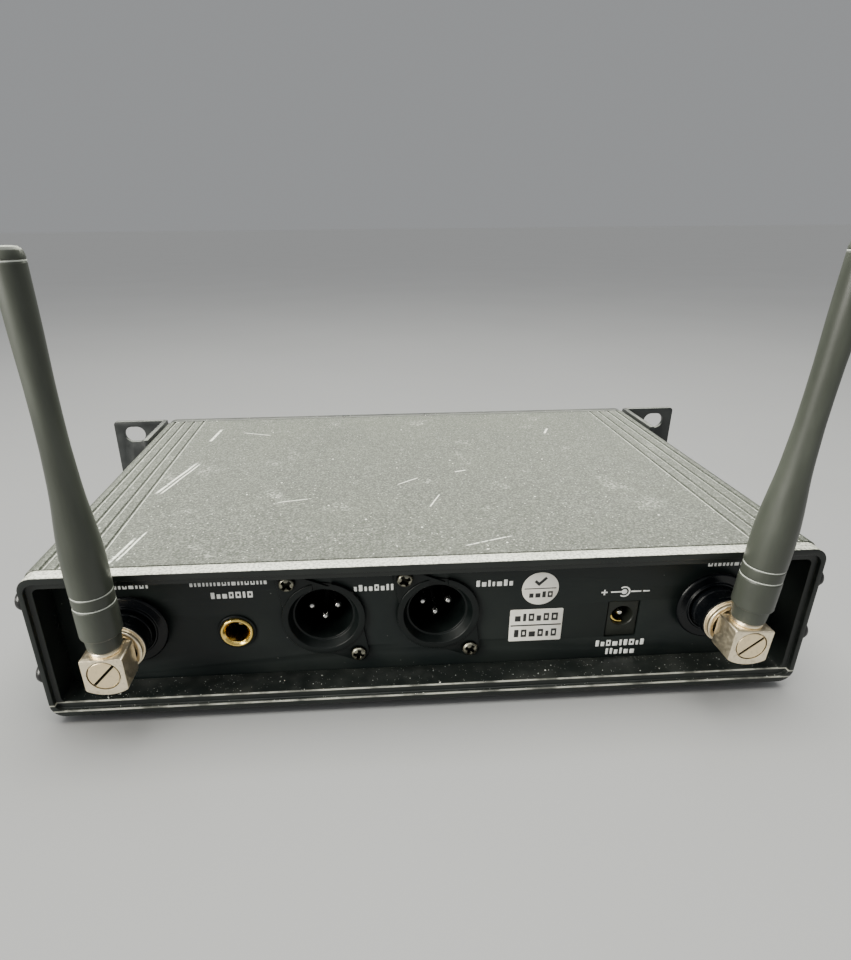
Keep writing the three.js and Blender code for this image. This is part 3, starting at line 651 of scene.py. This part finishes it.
COAT = coat_material()
BEZEL = bezel_material()
PANEL = panel_material()
EAR_PAINT = plastic_material("ear_paint", (0.012, 0.014, 0.014), 0.42, 0.6)
INLET = plastic_material("inlet_plastic", (0.010, 0.0115, 0.009), 0.5, 0.5, 0.3)
NYLON = plastic_material("black_nylon", (0.0025, 0.0040, 0.0038), 0.36, 0.5, 0.24)
GRIP = plastic_material("control_plastic", (0.018, 0.018, 0.019), 0.42)
BLACK_METAL = plastic_material("black_plated_metal", (0.0012, 0.0016, 0.0022), 0.2, 0.4, 0.25)
NICKEL = metal_material("warm_nickel", (1.0, 0.87, 0.64), (0.58, 0.50, 0.35), 0.38, 0.45, 0.9)
# The cover's slit and the rim sunk in its well take a painted shade.
COVER_NICKEL = metal_material("cover_nickel", (1.0, 0.82, 0.52), (0.62, 0.51, 0.32), 0.36, 0.3, 0.9,
                              ELBOW_REAR - 0.25)
PIN = metal_material("contact_silver", (0.80, 0.79, 0.76), (0.5, 0.48, 0.44), 0.2, 0.3)
# The screws' cross recesses and the skirts of their heads near the panel take a painted shade.
STEEL = metal_material("dark_zinc", (0.30, 0.29, 0.23), (0.12, 0.11, 0.085), 0.36, 0.7, 1.2, PANEL_Y + 1.8)
BLACK_STEEL = metal_material("blackened_steel", (0.055, 0.055, 0.055), (0.02, 0.02, 0.02), 0.38, 0.6)
GOLD = metal_material("gold_plate", (1.0, 0.72, 0.2), (0.62, 0.40, 0.10), 0.22, 0.35)
TIN = metal_material("dull_tin", (0.66, 0.67, 0.68), (0.4, 0.4, 0.4), 0.36, 0.4)
ALUMINIUM = metal_material("mill_aluminium", (0.72, 0.72, 0.73), (0.5, 0.5, 0.5), 0.38, 0.3)
WHIP = rubber_material("whip_rubber", (0.034, 0.038, 0.030), 0.42)
# Pale rubber for the whip's bands: a painted highlight on the groove edges.
BAND_HIGHLIGHT = rubber_material("painted_highlight_rubber", (0.4, 0.42, 0.38), 0.35)
FOOT = rubber_material("foot_rubber", (0.015, 0.015, 0.016), 0.75)
CABLE = rubber_material("cable_jacket", (0.18, 0.185, 0.19), 0.55)
PAPER = paper_material()
WHITE_INK = ink_material("white_print", (0.88, 0.89, 0.86))
BLACK_INK = ink_material("black_print", (0.02, 0.02, 0.02))
BOARD = board_material()
WINDOW = window_material()

# ---- Case and bezels

CORNER = 4.0
SHELL_CORNER = 3.0
SIDE_WALL = 1.5
TOP_WALL = 2.2
FLANGE_DEPTH = 4.2
SHROUD_DEPTH = 9.8


def groove(position):
    """A shallow trough with sloping walls, from outside in."""
    floor = HALF_H - 0.5
    return [(position + 0.5, HALF_H), (position + 0.25, floor), (position - 0.2, floor),
            (position - 0.5, HALF_H)]


def shell_section():
    """The upper shell's section about the case axis, as (x, z)."""
    edge_x, edge_z = HALF_W - SHELL_CORNER, HALF_H - SHELL_CORNER
    inner_x, inner_z = HALF_W - SIDE_WALL, HALF_H - TOP_WALL
    seam = 0.15
    right = [point for position in reversed(GROOVES) for point in groove(position)]
    left = [(-x, z) for x, z in reversed(right)]
    return ([(HALF_W, seam)] + arc(edge_x, edge_z, SHELL_CORNER, 0, QUARTER, 8)
            + rounded(right, 0.12, steps=2) + rounded(left, 0.12, steps=2)
            + arc(-edge_x, edge_z, SHELL_CORNER, QUARTER, 2 * QUARTER, 8)
            + [(-HALF_W, seam), (-inner_x, seam), (-inner_x, inner_z), (inner_x, inner_z), (inner_x, seam)])


def add_shell(name, node, turn):
    """One shell, extruded along Y with its end edges eased."""
    section = shell_section()
    edge = 0.15
    loops = []
    for station in (-SHELL_END, edge - SHELL_END, 0, SHELL_END - edge, SHELL_END):
        inset = edge if abs(station) == SHELL_END else 0.0
        scale = (HALF_H - inset) / HALF_H
        loops.append([(x * (HALF_W - inset) / HALF_W, station, z * scale) for x, z in section])
    bm = bridged(loops, closed=False)
    bm.transform(shift(0, 0, MID_Z) @ spin(turn))
    add_piece(name, bm, COAT, [node], sharp_degrees=25)


def add_bezel(name, node, face, step, mouth, throat):
    """A frame: an outer face, an opening with one step, and a shroud inside the shells.

    mouth and throat are (side inset, top inset, corner radius) before and behind the step.
    """
    inwards = -1 if face > 0 else 1
    flange, shroud = face + inwards * FLANGE_DEPTH, face + inwards * SHROUD_DEPTH
    outer, sleeve = (0, 0, CORNER), (1.8, 2.5, 1.6)
    levels = ((outer, flange), (outer, face), (mouth, face), (mouth, step),
              (throat, step), (throat, shroud), (sleeve, shroud), (sleeve, flange))
    profile = [(side, top, y, radius) for (side, top, radius), y in levels]
    loops = []
    for side, top, y, radius in rounded(profile, 0.3, closed=True):
        outline = rounded_rect(2 * (HALF_W - side), 2 * (HALF_H - top), radius, 0, MID_Z, 8)
        loops.append([(x, y, z) for x, z in outline])
    add_piece(name, bridged(loops), BEZEL, [node], sharp_degrees=40)


def add_bezels():
    add_bezel("rear_bezel_frame", "rear_bezel", REAR_Y, REAR_Y - 1.3, (1.4, 1.9, 2.8), (3.0, 3.9, 1.4))
    seat = node_box("front_panel")[1].y + 0.1
    add_bezel("front_bezel_frame", "front_bezel", FRONT_Y, seat, (3.5, 3.5, 1.5), (6, 6, 1.2))


def add_feet():
    for node in (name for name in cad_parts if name.startswith("foot_")):
        low, high = node_box(node)
        height = high.z - low.z
        profile = [(0, height), (6.5, height), (6.3, 1.6), (5.5, 0), (3.4, 0), (3.0, 0.5), (0, 0.5)]
        place = shift((low.x + high.x) / 2, (low.y + high.y) / 2, low.z) @ UPRIGHT
        bm = turned(profile, 40, 0.4, matrix=place)
        add_piece(f"rubber_{node}", bm, FOOT, [node])


# ---- Screws


def screw_head(radius, height, matrix, shank):
    """A pan head about +Y with its seat at y = 0, a cross recess and a shank."""
    shank_radius, shank_length = shank
    profile = [(0, -shank_length), (shank_radius, -shank_length), (shank_radius, 0), (radius, 0),
               (radius, 0.35 * height), (0.82 * radius, 0.82 * height), (0.5 * radius, height), (0, height)]
    head = turned(profile, 36, 0.25)
    half, reach = 0.23 * radius, 0.72 * radius
    deep = (0.1 * height, height + 1)
    cone = turned([(0, 0.05 * height), (0.2 * radius, 0.1 * height), (0.5 * radius, height + 0.2),
                   (0, height + 0.2)], 24, 0.02)
    tools = [block((-reach, reach), deep, (-half, half), 0.02, 1),
             block((-half, half), deep, (-reach, reach), 0.02, 1), cone]
    return carved(head, tools, matrix)


def add_side_screws():
    """The bezel's and the ears' screws, with their heads out to the side."""
    head = 2.0
    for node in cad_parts:
        if not node.startswith(("bezel_screw", "ear_screw")):
            continue
        side = SIDE[node.split("_")[2]]
        low, high = node_box(node)
        centre = (low + high) / 2
        tip = high.x - head if side > 0 else low.x + head
        radius = (high.y - low.y) / 2
        outwards = Matrix.Rotation(-side * QUARTER, 4, "Z")
        place = shift(tip, centre.y, centre.z) @ outwards @ spin(0.4 + 1.7 * centre.z)
        bm = screw_head(radius, head, place, shank=(1.2, abs(high.x - low.x) - head))
        add_piece(f"{node}_head", bm, BLACK_STEEL, [node])


# ---- Rear panel

INLET_HEIGHT = 11.8


def add_rear_panel():
    low, high = node_box("rear_panel")
    outlines = [rounded_rect(high.x - low.x, high.z - low.z, 1.5, 0, MID_Z)]
    for channel in CHANNELS:
        at = XLR_AT[channel]
        outlines.append(circle(11.4, at.x, at.z))
        for side in (-1, 1):
            outlines.append(circle(1.7, at.x + side * XLR_SCREW_X, at.z + side * XLR_SCREW_Z, 20))
        outlines.append(circle(6.3, BNC_X[channel], MID_Z, 40))
    outlines.append(circle(5.1, *middle_xz("line_jack_bushing")))
    start, end = node_box("dc_jack")
    middle = (start.x + end.x) / 2, end.z - INLET_HEIGHT / 2
    width, height = end.x - start.x + 0.6, INLET_HEIGHT + 0.6
    outlines.append(rounded_rect(width, height, 0.4, *middle, 2))
    bm = plate(outlines, low.y, high.y, 0.08)
    add_piece("rear_panel_plate", bm, PANEL, ["rear_panel"])


def printed(outlines, y=PANEL_Y, thickness=0.05):
    """A thin layer of ink on a face at y."""
    return plate(outlines, y, y + thickness, 0.01)


def glyph_row(cx, cz, width, height, seed, lifted=PANEL_Y):
    """A row of small plain blocks that stands for a printed word."""
    draw = random.Random(seed)
    parts = []
    x, end = cx - width / 2, cx + width / 2
    while x < end - 0.5:
        stroke = min(height * draw.choice((0.34, 0.5, 0.62, 0.72)), end - x)
        rise = height * draw.choice((1.0, 1.0, 0.72))
        middle = (x + stroke / 2, cz - height / 2 + rise / 2)
        outlines = [rounded_rect(stroke, rise, 0.12, *middle, 2)]
        if stroke > 0.55 * height and rise == height:
            outlines.append(rounded_rect(0.42 * stroke, 0.42 * rise, 0.08, *middle, 2))
        parts.append(printed(outlines, lifted))
        x += stroke + 0.28 * height
    return merged(*parts)


# Rows of marks on the rear panel: x, height above the bezel's foot, width and letter height.
MARK_ROWS = ((55.2, 30.7, 11.9, 2.0), (55.6, 34.6, 21, 1.6), (15.8, 31.3, 11, 2.0), (-18.0, 31.2, 11, 2.0),
             (-57.2, 8.8, 14.6, 2.1), (-57.2, 5.8, 9.6, 2.1), (82.6, 34.8, 11, 1.8), (-84.6, 34.8, 11, 1.8))


def add_panel_marks():
    words = [glyph_row(x, z + BEZEL_LOW.z, width, height, index)
             for index, (x, z, width, height) in enumerate(MARK_ROWS)]
    add_piece("panel_marks", merged(*words), WHITE_INK)


def add_polarity_mark():
    """Plus, a dot in an open ring, and minus, joined by lines."""
    z = 26.6 + BEZEL_LOW.z
    dot, minus, plus = -56.2, -62.7, -50.4
    stroke = 0.42
    start, end = math.radians(50), math.radians(310)
    ring = arc(dot, z, 1.75, start, end, 20) + arc(dot, z, 1.75 - stroke, end, start, 20)
    bars = ((minus, 1.95), (dot - 3.45, 3.0), (dot + 2.3, 3.2))
    parts = [printed([rounded_rect(width, stroke, 0.08, x, z, 2)]) for x, width in bars]
    parts += [printed([rounded_rect(1.8, stroke, 0.08, plus, z, 2)]),
              printed([rounded_rect(stroke, 1.8, 0.08, plus, z, 2)], thickness=0.06),
              printed([ring]), printed([circle(0.82, dot, z, 24)], thickness=0.07)]
    add_piece("polarity_mark", merged(*parts), WHITE_INK)


def add_round_sticker():
    """The round sticker; returns its marks: a tick over a line and a row."""
    cx, cz = -31.5, 28.8 + BEZEL_LOW.z
    face = PANEL_Y + 0.14
    bm = plate([circle(5.3, cx, cz, 56)], PANEL_Y, face, 0.03)
    add_piece("round_sticker", bm, PAPER)
    tick = [(1.9, 2.3), (1.3, 2.9), (0.5, 2.1), (-1.3, 3.9), (-1.9, 3.3), (0.5, 0.9)]
    return [plate([[(cx + x, cz + z) for x, z in tick]], face, face + 0.03, 0.005),
            plate([rounded_rect(9.2, 0.3, 0.1, cx, cz + 0.1, 2)], face, face + 0.03, 0.005),
            glyph_row(cx, cz - 1.9, 7.4, 2.0, 41, face - 0.01)]


def add_label():
    """The label; returns its marks: two rows with a line between them."""
    cx, cz = -31.1, 16.5 + BEZEL_LOW.z
    face = PANEL_Y + 0.16
    bm = plate([rounded_rect(15.5, 10.9, 0.4, cx, cz, 3)], PANEL_Y, face, 0.03)
    add_piece("channel_label", bm, PAPER)
    return [plate([rounded_rect(14.9, 0.45, 0.1, cx, cz, 2)], face, face + 0.03, 0.005),
            glyph_row(cx, cz + 2.75, 12.6, 2.6, 17, face - 0.01),
            glyph_row(cx, cz - 2.75, 12.6, 2.6, 23, face - 0.01)]


# ---- Connectors


def ear_outline(x, z):
    """A teardrop from near the ring to round the screw at (x, z)."""
    angle = math.atan2(z, x)
    return arc(x, z, 3.1, angle - 1.3, angle + 1.3, 14) + arc(0, 0, 10.6, angle + 0.85, angle - 0.85, 12)


def add_xlr_housing(channel):
    """The ring round the socket, notched on top, and its two screw ears."""
    front, back = PANEL_Y + 1.3, PANEL_Y + 0.1
    rear = node_box(f"xlr_{channel}_shell")[0].y
    profile = [(11, rear), (11, back), (11.7, back), (11.7, front), (9.9, front), (8.75, front - 2.6),
               (8.2, front - 2.6), (8.2, rear)]
    ring = turned(profile, 96, 0.22, closed=True)
    notch = block((-2.7, 2.7), (front - 1.5, front + 1), (8.4, 12.5), 0.3)
    parts = [carved(ring, [notch])]
    for side in (-1, 1):
        x, z = side * XLR_SCREW_X, side * XLR_SCREW_Z
        parts.append(plate([ear_outline(x, z), circle(1.6, x, z, 24)], back, PANEL_Y + 0.95, 0.2))
    shell = merged(*parts)
    shell.transform(Matrix.Translation(XLR_AT[channel]))
    add_piece(f"xlr_{channel}_housing", shell, NYLON, [f"xlr_{channel}_shell"])


def add_xlr_insert(channel):
    """The socket's floor and its three contacts, each with a tail behind."""
    at = XLR_AT[channel]
    place = Matrix.Translation(at)
    low, high = node_box(f"xlr_{channel}_insert")
    floor = PANEL_Y - 19.5
    profile = raised(floor, [(0, -2.5), (7.9, -2.5), (7.9, 0), (5.6, 0), (5.4, 0.4), (0, 0.4)])
    disc = turned(profile, 64, 0.2, matrix=place)
    add_piece(f"xlr_{channel}_core", disc, NYLON, [f"xlr_{channel}_insert"])
    tip = high.y
    profile = [(0, low.y), (1.2, low.y), (1.2, tip - 1.0), (0.75, tip - 0.2), (0.3, tip), (0, tip)]
    pins = []
    for x, z in ((-PIN_REACH, 0), (PIN_REACH, 0), (0, -PIN_REACH)):
        pins.append(turned(profile, 28, 0.3, matrix=place @ shift(x, 0, z)))
        across = (x + at.x - 0.45, x + at.x + 0.45)
        pins.append(block(across, (floor - 4.3, floor - 3.4), (low.z, z + at.z), 0.1, 1))
    add_piece(f"xlr_{channel}_contacts", merged(*pins), PIN)


def add_xlr_screws(channel):
    at = XLR_AT[channel]
    for level, side in (("upper", 1), ("lower", -1)):
        node = f"xlr_{channel}_screw_{level}"
        spot = shift(at.x + side * XLR_SCREW_X, PANEL_Y + 1, at.z + side * XLR_SCREW_Z)
        bm = screw_head(2.3, 1.5, spot @ spin(0.5 * side + 0.01 * at.x), shank=(1.4, 8))
        add_piece(f"{node}_head", bm, STEEL, [node])


def add_line_jack():
    low, high = node_box("line_jack_bushing")
    cx, cz = middle_xz("line_jack_bushing")
    place = shift(cx, 0, cz)
    bore = 3.2
    profile = [(4.7, low.y), (4.7, high.y - 0.45), (4.35, high.y), (3.95, high.y), (bore, high.y - 0.75),
               (bore, low.y)]
    bm = turned(profile, 96, 0.18, closed=True, matrix=place)
    add_piece("line_jack_ring", bm, GOLD, ["line_jack_bushing"])
    washer = raised(PANEL_Y, [(4.75, 0.05), (5.4, 0.05), (5.4, 0.4), (5.2, 0.6), (4.75, 0.6)])
    bm = turned(washer, 96, 0.1, closed=True, matrix=place)
    add_piece("line_jack_washer", bm, NYLON)
    spring = block((cx - 3.0, cx + 0.2), (low.y + 0.5, low.y + 3.5), (cz - 0.35, cz + 0.25), 0.12)
    add_piece("line_jack_contact", spring, PIN)


def add_power_inlet():
    low, high = node_box("dc_jack")
    front = high.y
    face_low = high.z - INLET_HEIGHT
    hole_x, hole_z = (low.x + high.x) / 2 + 0.1, MID_Z - 3.9
    place = shift(hole_x, 0, hole_z)
    body = block((low.x, high.x), (low.y, front), (face_low, high.z), 0.35)
    leg = block((low.x, high.x), (low.y, PANEL_Y - 2.5), (low.z, face_low + 0.6), 0.2)
    bore = turned([(0, low.y + 3), (3.2, low.y + 3), (3.2, front - 0.25), (3.45, front + 0.05),
                   (3.45, front + 2), (0, front + 2)], 72, 0.05, matrix=place)
    moulding = merged(carved(body, [bore]), leg)
    add_piece("dc_jack_moulding", moulding, INLET, ["dc_jack"])
    profile = [(0, low.y + 2), (1.0, low.y + 2), (1.0, front - 2.1), (0.6, front - 1.4), (0, front - 1.4)]
    add_piece("dc_jack_pin", turned(profile, 32, 0.25, matrix=place), PIN)
    start, end = math.radians(255), math.radians(350)
    leaf = arc(hole_x, hole_z, 3.15, start, end, 16) + arc(hole_x, hole_z, 2.5, end, start, 16)
    add_piece("dc_jack_leaf", plate([leaf], low.y + 3.3, front - 1.2, 0.08), GOLD)


# ---- Antennas


def add_socket(channel):
    """The wide black flange with its raised ring, and the barrel that the nut turns on."""
    low, high = node_box(f"bnc_{channel}_socket")
    stud = [(0, low.y), (4.5, low.y), (6, low.y + 3), (6, PANEL_Y + 0.1), (9.3, PANEL_Y + 0.1)]
    face = raised(PANEL_Y + 2.6, [(10.7, -0.45), (10.25, 0), (8.0, -0.1), (7.8, 0.5), (7.3, 0.5),
                                  (7.25, -0.1), (4.8, -0.1)])
    barrel = [(4.8, high.y), (4.25, high.y), (4.25, PANEL_Y - 1), (0, PANEL_Y - 1)]
    profile = stud + [(10.7, PANEL_Y + 1.8)] + face + barrel
    bm = turned(profile, 96, 0.18, matrix=shift(BNC_X[channel], 0, MID_Z))
    name = f"bnc_{channel}_flange"
    add_piece(name, bm, BLACK_METAL, [f"bnc_{channel}_socket"])


def add_nut(channel):
    """The coupling nut's black barrel and the nickel rim in its mouth."""
    place = shift(BNC_X[channel], 0, MID_Z)
    rear = node_box(f"bnc_{channel}_nut")[0].y
    body = f"coupling_nut_{channel}"
    inner = 5.15
    barrel = (raised(rear, [(inner, 0), (6.6, 0), (6.9, 0.4), (6.9, 1.6), (6.65, 1.8)])
              + raised(REAR_Y, [(6.65, -2.6), (6.9, -2.4), (6.9, -0.55), (6.5, -0.45), (inner, -0.45)]))
    bm = turned(barrel, 96, 0.12, closed=True, matrix=place)
    add_piece(f"bnc_{channel}_barrel", bm, BLACK_METAL, [f"bnc_{channel}_nut"], body)
    rim = raised(REAR_Y, [(inner, -0.4), (6.7, -0.4), (6.8, -0.15), (6.65, 0), (6.15, 0), (6.1, 0.35),
                          (6.44, 0.5), (6.44, 1.4), (6.2, 1.6), (inner, 1.6)])
    bm = turned(rim, 96, 0.12, closed=True, matrix=place)
    add_piece(f"bnc_{channel}_rim", bm, NICKEL, body=body)


def swivel(channel):
    """From a frame on the socket's axis to the row frame, with the antenna's rest tilt."""
    return shift(BNC_X[channel], 0, MID_Z) @ spin(TILT[channel])


def block_outline(corner=-4.55, bow_radius=10.5):
    """The plug block seen along Y: flat sides and top, and a bowed underside between its lower corners."""
    half = 5.3
    bow = math.asin(half / bow_radius)
    centre = corner + bow_radius * math.cos(bow)
    underside = arc(0, centre, bow_radius, -QUARTER - bow, -QUARTER + bow, 10)[1:-1]
    outline = [(half, BLOCK_TOP), (-half, BLOCK_TOP), (-half, corner), *underside, (half, corner)]
    return [tuple(point) for point in rounded(outline, 0.5, closed=True)]


def add_elbow(channel):
    """The plug's block, hollowed for the cover and the collar's spigot, and its neck into the socket."""
    front = ELBOW_REAR - 8.2
    cheek = plate([block_outline()], front, ELBOW_REAR, 0.35)
    well = turned(raised(ELBOW_REAR, [(0, -1.2), (4.15, -1.2), (4.15, -0.1), (4.3, 1), (0, 1)]), 72, 0.02)
    under_whip = shift(0, WHIP_Y, BLOCK_TOP) @ UPRIGHT
    socket = turned([(0, -3), (2.5, -3), (2.5, 1), (0, 1)], 32, 0.02, matrix=under_whip)
    neck = turned([(0, PANEL_Y + 3.5), (3.9, PANEL_Y + 3.5), (3.9, REAR_Y + 1.9), (4.5, REAR_Y + 1.9),
                   (4.5, front + 0.4), (0, front + 0.4)], 72, 0.2)
    whole = merged(carved(cheek, [well, socket]), neck)
    whole.transform(swivel(channel))
    body = f"antenna_{channel}"
    add_piece(f"{body}_block", whole, NICKEL, [f"{body}_elbow"], body)


def add_cover(channel):
    """The round cover over the solder joint, with a slit across it."""
    disc = turned(raised(ELBOW_REAR, [(0, -0.9), (3.85, -0.9), (3.85, -0.05), (3.6, 0), (0, 0)]), 72, 0.1)
    slit = block((-5, 5), (ELBOW_REAR - 0.5, ELBOW_REAR + 1), (-0.36, 0.36), 0.02, 1, spin(math.pi / 4))
    cap = carved(disc, [slit], swivel(channel))
    body = f"antenna_{channel}"
    add_piece(f"{body}_cover", cap, COVER_NICKEL, [f"{body}_cap"], body)


# The collar, whip and bands are (radius, height above the block's top).
COLLAR = [(0, -2.4), (2.2, -2.4), (2.2, 0.05), (3.5, 0.05), (3.8, 0.3), (3.8, 0.9), (3.5, 1.3), (2.4, 1.3),
          (2.4, 9), (0, 9)]
WHIP_FOOT = [(2.7, 1.4), (4.0, 1.4), (4.15, 1.7), (4.45, 5.4), (4.95, 5.5), (5.1, 5.9), (5.1, 13.6),
             (4.9, 14.0), (4.9, 14.3), (5.0, 14.6), (5.0, 17.0), (4.85, 17.2), (4.85, 17.5), (5.05, 17.8),
             (5.05, 22)]
WHIP_TAPER = [(5.03, 26), (4.9, 29), (4.6, 33), (4.2, 37), (3.93, 39.5), (3.7, 42), (3.5, 45), (3.32, 49),
              (3.12, 54), (3.04, 61), (3.06, 68), (3.16, 73), (3.26, 78), (3.32, 84), (3.35, 91.6)]
WHIP_TIP = [(3.24, 91.9), (3.24, 92.2), (3.35, 92.5), (3.28, 93.2), (3.0, 94.1), (2.4, 94.65), (1.4, 94.85),
            (0, 94.9)]
WHIP_BORE = [(0, 9.3), (2.7, 9.3), (2.7, 1.4)]
BANDS = ((4.82, 14.15), (4.77, 17.35), (3.16, 92.05))


def add_whip(channel):
    """The nickel collar, the rubber whip and the pale bands round it, which paint the highlights on the
    edges of its grooves.
    """
    stand = swivel(channel) @ shift(0, WHIP_Y, BLOCK_TOP) @ UPRIGHT
    body = f"antenna_{channel}"
    bm = turned(COLLAR, 64, 0.12, matrix=stand)
    add_piece(f"{body}_collar", bm, NICKEL, [f"{body}_ferrule"], body)
    bm = turned(WHIP_FOOT + WHIP_TAPER + WHIP_TIP + WHIP_BORE, 64, 0.15, matrix=stand)
    add_piece(f"{body}_rubber", bm, WHIP, [f"{body}_whip"], body)
    # Thin pale rings stand in for the highlights on the groove edges.
    bands = []
    for radius, height in BANDS:
        outer = radius + 0.16
        section = raised(height, [(radius, -0.15), (outer, -0.15), (outer, 0.15), (radius, 0.15)])
        bands.append(turned(section, 64, 0.08, closed=True, matrix=stand))
    add_piece(f"{body}_bands", merged(*bands), BAND_HIGHLIGHT, body=body)


# ---- Rack ears

EAR_THICKNESS = 2
SLOT_WIDTH, SLOT_HEIGHT, SLOT_INSET = 9.2, 7, 8.7
HALF_RACK_PITCH = 15.9
EAR_SCREW_Y, EAR_SCREW_RISE = -50, 8


def add_rack_ear(channel):
    """A folded bracket: a slotted face across the front and a drilled leg along the case."""
    side = SIDE[channel]
    low, high = node_box(f"rack_ear_{channel}")
    inner, outer = sorted((abs(low.x), abs(high.x)))
    outline = rounded_rect(outer - inner, high.z - low.z, 1.5, side * (inner + outer) / 2, MID_Z)
    slots = [rounded_rect(SLOT_WIDTH, SLOT_HEIGHT, 3.49, side * (outer - SLOT_INSET), MID_Z + dz, 8)
             for dz in (-HALF_RACK_PITCH, HALF_RACK_PITCH)]
    face = plate([outline, *slots], low.y, low.y + EAR_THICKNESS, 0.25)
    leg_x = sorted((side * inner, side * (inner + EAR_THICKNESS)))
    leg = block(leg_x, (low.y + 0.4, high.y), (low.z, high.z), 0.3)
    holes = []
    for dz in (-EAR_SCREW_RISE, EAR_SCREW_RISE):
        turn = shift(side * inner, EAR_SCREW_Y, MID_Z + dz) @ Matrix.Rotation(QUARTER, 4, "Z")
        holes.append(turned([(0, -5), (1.8, -5), (1.8, 5), (0, 5)], 28, 0.02, matrix=turn))
    bracket = merged(face, carved(leg, holes))
    name = f"rack_ear_{channel}"
    add_piece(f"{name}_bracket", bracket, EAR_PAINT, [name])


# ---- Front


def add_front_panel():
    """The front plate with its openings, and the smoked pane in the largest."""
    low, high = node_box("front_panel")
    window_low, window_high = node_box("indicator_window")
    cx, cz = middle_xz("indicator_window")
    width, height = window_high.x - window_low.x - 3, window_high.z - window_low.z - 3
    outlines = [rounded_rect(high.x - low.x, high.z - low.z, 1.3, 0, MID_Z),
                rounded_rect(14, 9, 2.3, *middle_xz("power_button")),
                rounded_rect(width, height, 1, cx, cz)]
    for channel in CHANNELS:
        outlines.append(circle(3.8, *middle_xz(f"volume_knob_{channel}"), 32))
    bm = plate(outlines, low.y, high.y, 0.12)
    add_piece("front_panel_plate", bm, PANEL, ["front_panel"])
    lens = plate([rounded_rect(width - 0.6, height - 0.6, 0.8, cx, cz)], low.y - 0.2, high.y + 0.5, 0.2)
    lip = plate([rounded_rect(width + 3, height + 3, 1, cx, cz)], high.y + 0.1, high.y + 0.9, 0.1)
    add_piece("indicator_pane", merged(lens, lip), WINDOW, ["indicator_window"])


def add_power_key():
    """The power button's cap, the lip that holds it in and its stem."""
    low, high = node_box("power_button")
    cx, cz = middle_xz("power_button")
    flange = FASCIA_Y + 2.2
    cap = plate([rounded_rect(13.2, 8.2, 1.9, cx, cz)], low.y, flange + 0.5, 0.5)
    lip = plate([rounded_rect(15.4, 10.4, 1.9, cx, cz)], flange, flange + 1, 0.15)
    stem = turned([(0, flange + 0.5), (1.6, flange + 0.5), (1.6, high.y), (0, high.y)], 28, 0.1,
                  matrix=shift(cx, 0, cz))
    bm = merged(cap, lip, stem)
    add_piece("power_key_cap", bm, GRIP, ["power_button"], "power_key")


def knob_flutes(low, high, count=24):
    """Cutters for the grooves round a knob's grip."""
    profile = [(0, low.y - 1), (0.42, low.y - 1), (0.42, high.y - 3.2), (0, high.y - 2.9)]
    flutes = []
    for index in range(count):
        spot = spin(2 * math.pi * (index + 0.5) / count) @ shift(7.5, 0, 0)
        flutes.append(turned(profile, 12, 0.01, matrix=spot))
    return merged(*flutes)


def add_knob(channel):
    """A fluted knob with a white line in its pointer slot."""
    node, body = f"volume_knob_{channel}", f"volume_control_{channel}"
    low, high = node_box(node)
    cx, cz = middle_xz(node)
    place = shift(cx, 0, cz)
    web, bore = high.y - 2.2, low.y + 4.7
    profile = [(0, low.y + 0.3), (4.6, low.y + 0.3), (5.0, low.y), (6.2, low.y), (6.8, low.y + 0.7),
               (7.3, high.y - 2.6), (7.5, high.y - 2.4), (7.5, high.y), (5.4, high.y), (5.4, web),
               (2.9, web), (2.9, bore), (0, bore)]
    slot = block((-0.45, 0.45), (low.y - 1, low.y + 0.5), (2.4, 9), 0.05, 1)
    knob = carved(turned(profile, 96, 0.2), [knob_flutes(low, high), slot], place)
    add_piece(f"volume_{channel}_knob", knob, GRIP, [node], body)
    line = block((-0.4, 0.4), (low.y + 0.3, low.y + 0.55), (2.6, 6.4), 0.05, 1, place)
    add_piece(f"volume_{channel}_line", line, WHITE_INK, body=body)


# ---- Inner nodes that keep their CAD shape

INNER_FINISHES = (
    (BOARD, ("main_board", "front_board")),
    (TIN, ("radio_can_a", "radio_can_b")),
    (ALUMINIUM, ("regulator_heatsink", "volume_shaft_a", "volume_shaft_b")),
    (CABLE, ("coax_a", "coax_b", "ribbon_cable")),
    (NYLON, ("line_jack_housing", "power_switch", "volume_pot_a", "volume_pot_b")),
)


def finish_inner_nodes():
    for material, nodes in INNER_FINISHES:
        for node in nodes:
            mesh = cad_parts[node].data
            mesh.materials.clear()
            mesh.materials.append(material)


def add_floor():
    """A pale disc of floor wide enough that its edge is lost on the horizon."""
    bm = bmesh.new()
    bmesh.ops.create_circle(bm, cap_ends=True, segments=96, radius=60)
    floor = add_object("floor", as_mesh("floor", bm))
    floor.data.materials.append(floor_material())
    return floor


add_camera()
add_studio(add_floor())
add_shell("upper_shell", "case_top", 0)
add_shell("lower_shell", "case_bottom", math.pi)
add_bezels()
add_feet()
add_side_screws()
add_rear_panel()
add_panel_marks()
add_polarity_mark()
sticker_marks = add_round_sticker() + add_label()
add_piece("label_marks", merged(*sticker_marks), BLACK_INK)
add_line_jack()
add_power_inlet()
add_front_panel()
add_power_key()
for channel in CHANNELS:
    for add in (add_xlr_housing, add_xlr_insert, add_xlr_screws, add_socket, add_nut, add_elbow, add_cover,
                add_whip, add_rack_ear, add_knob):
        add(channel)
finish_inner_nodes()
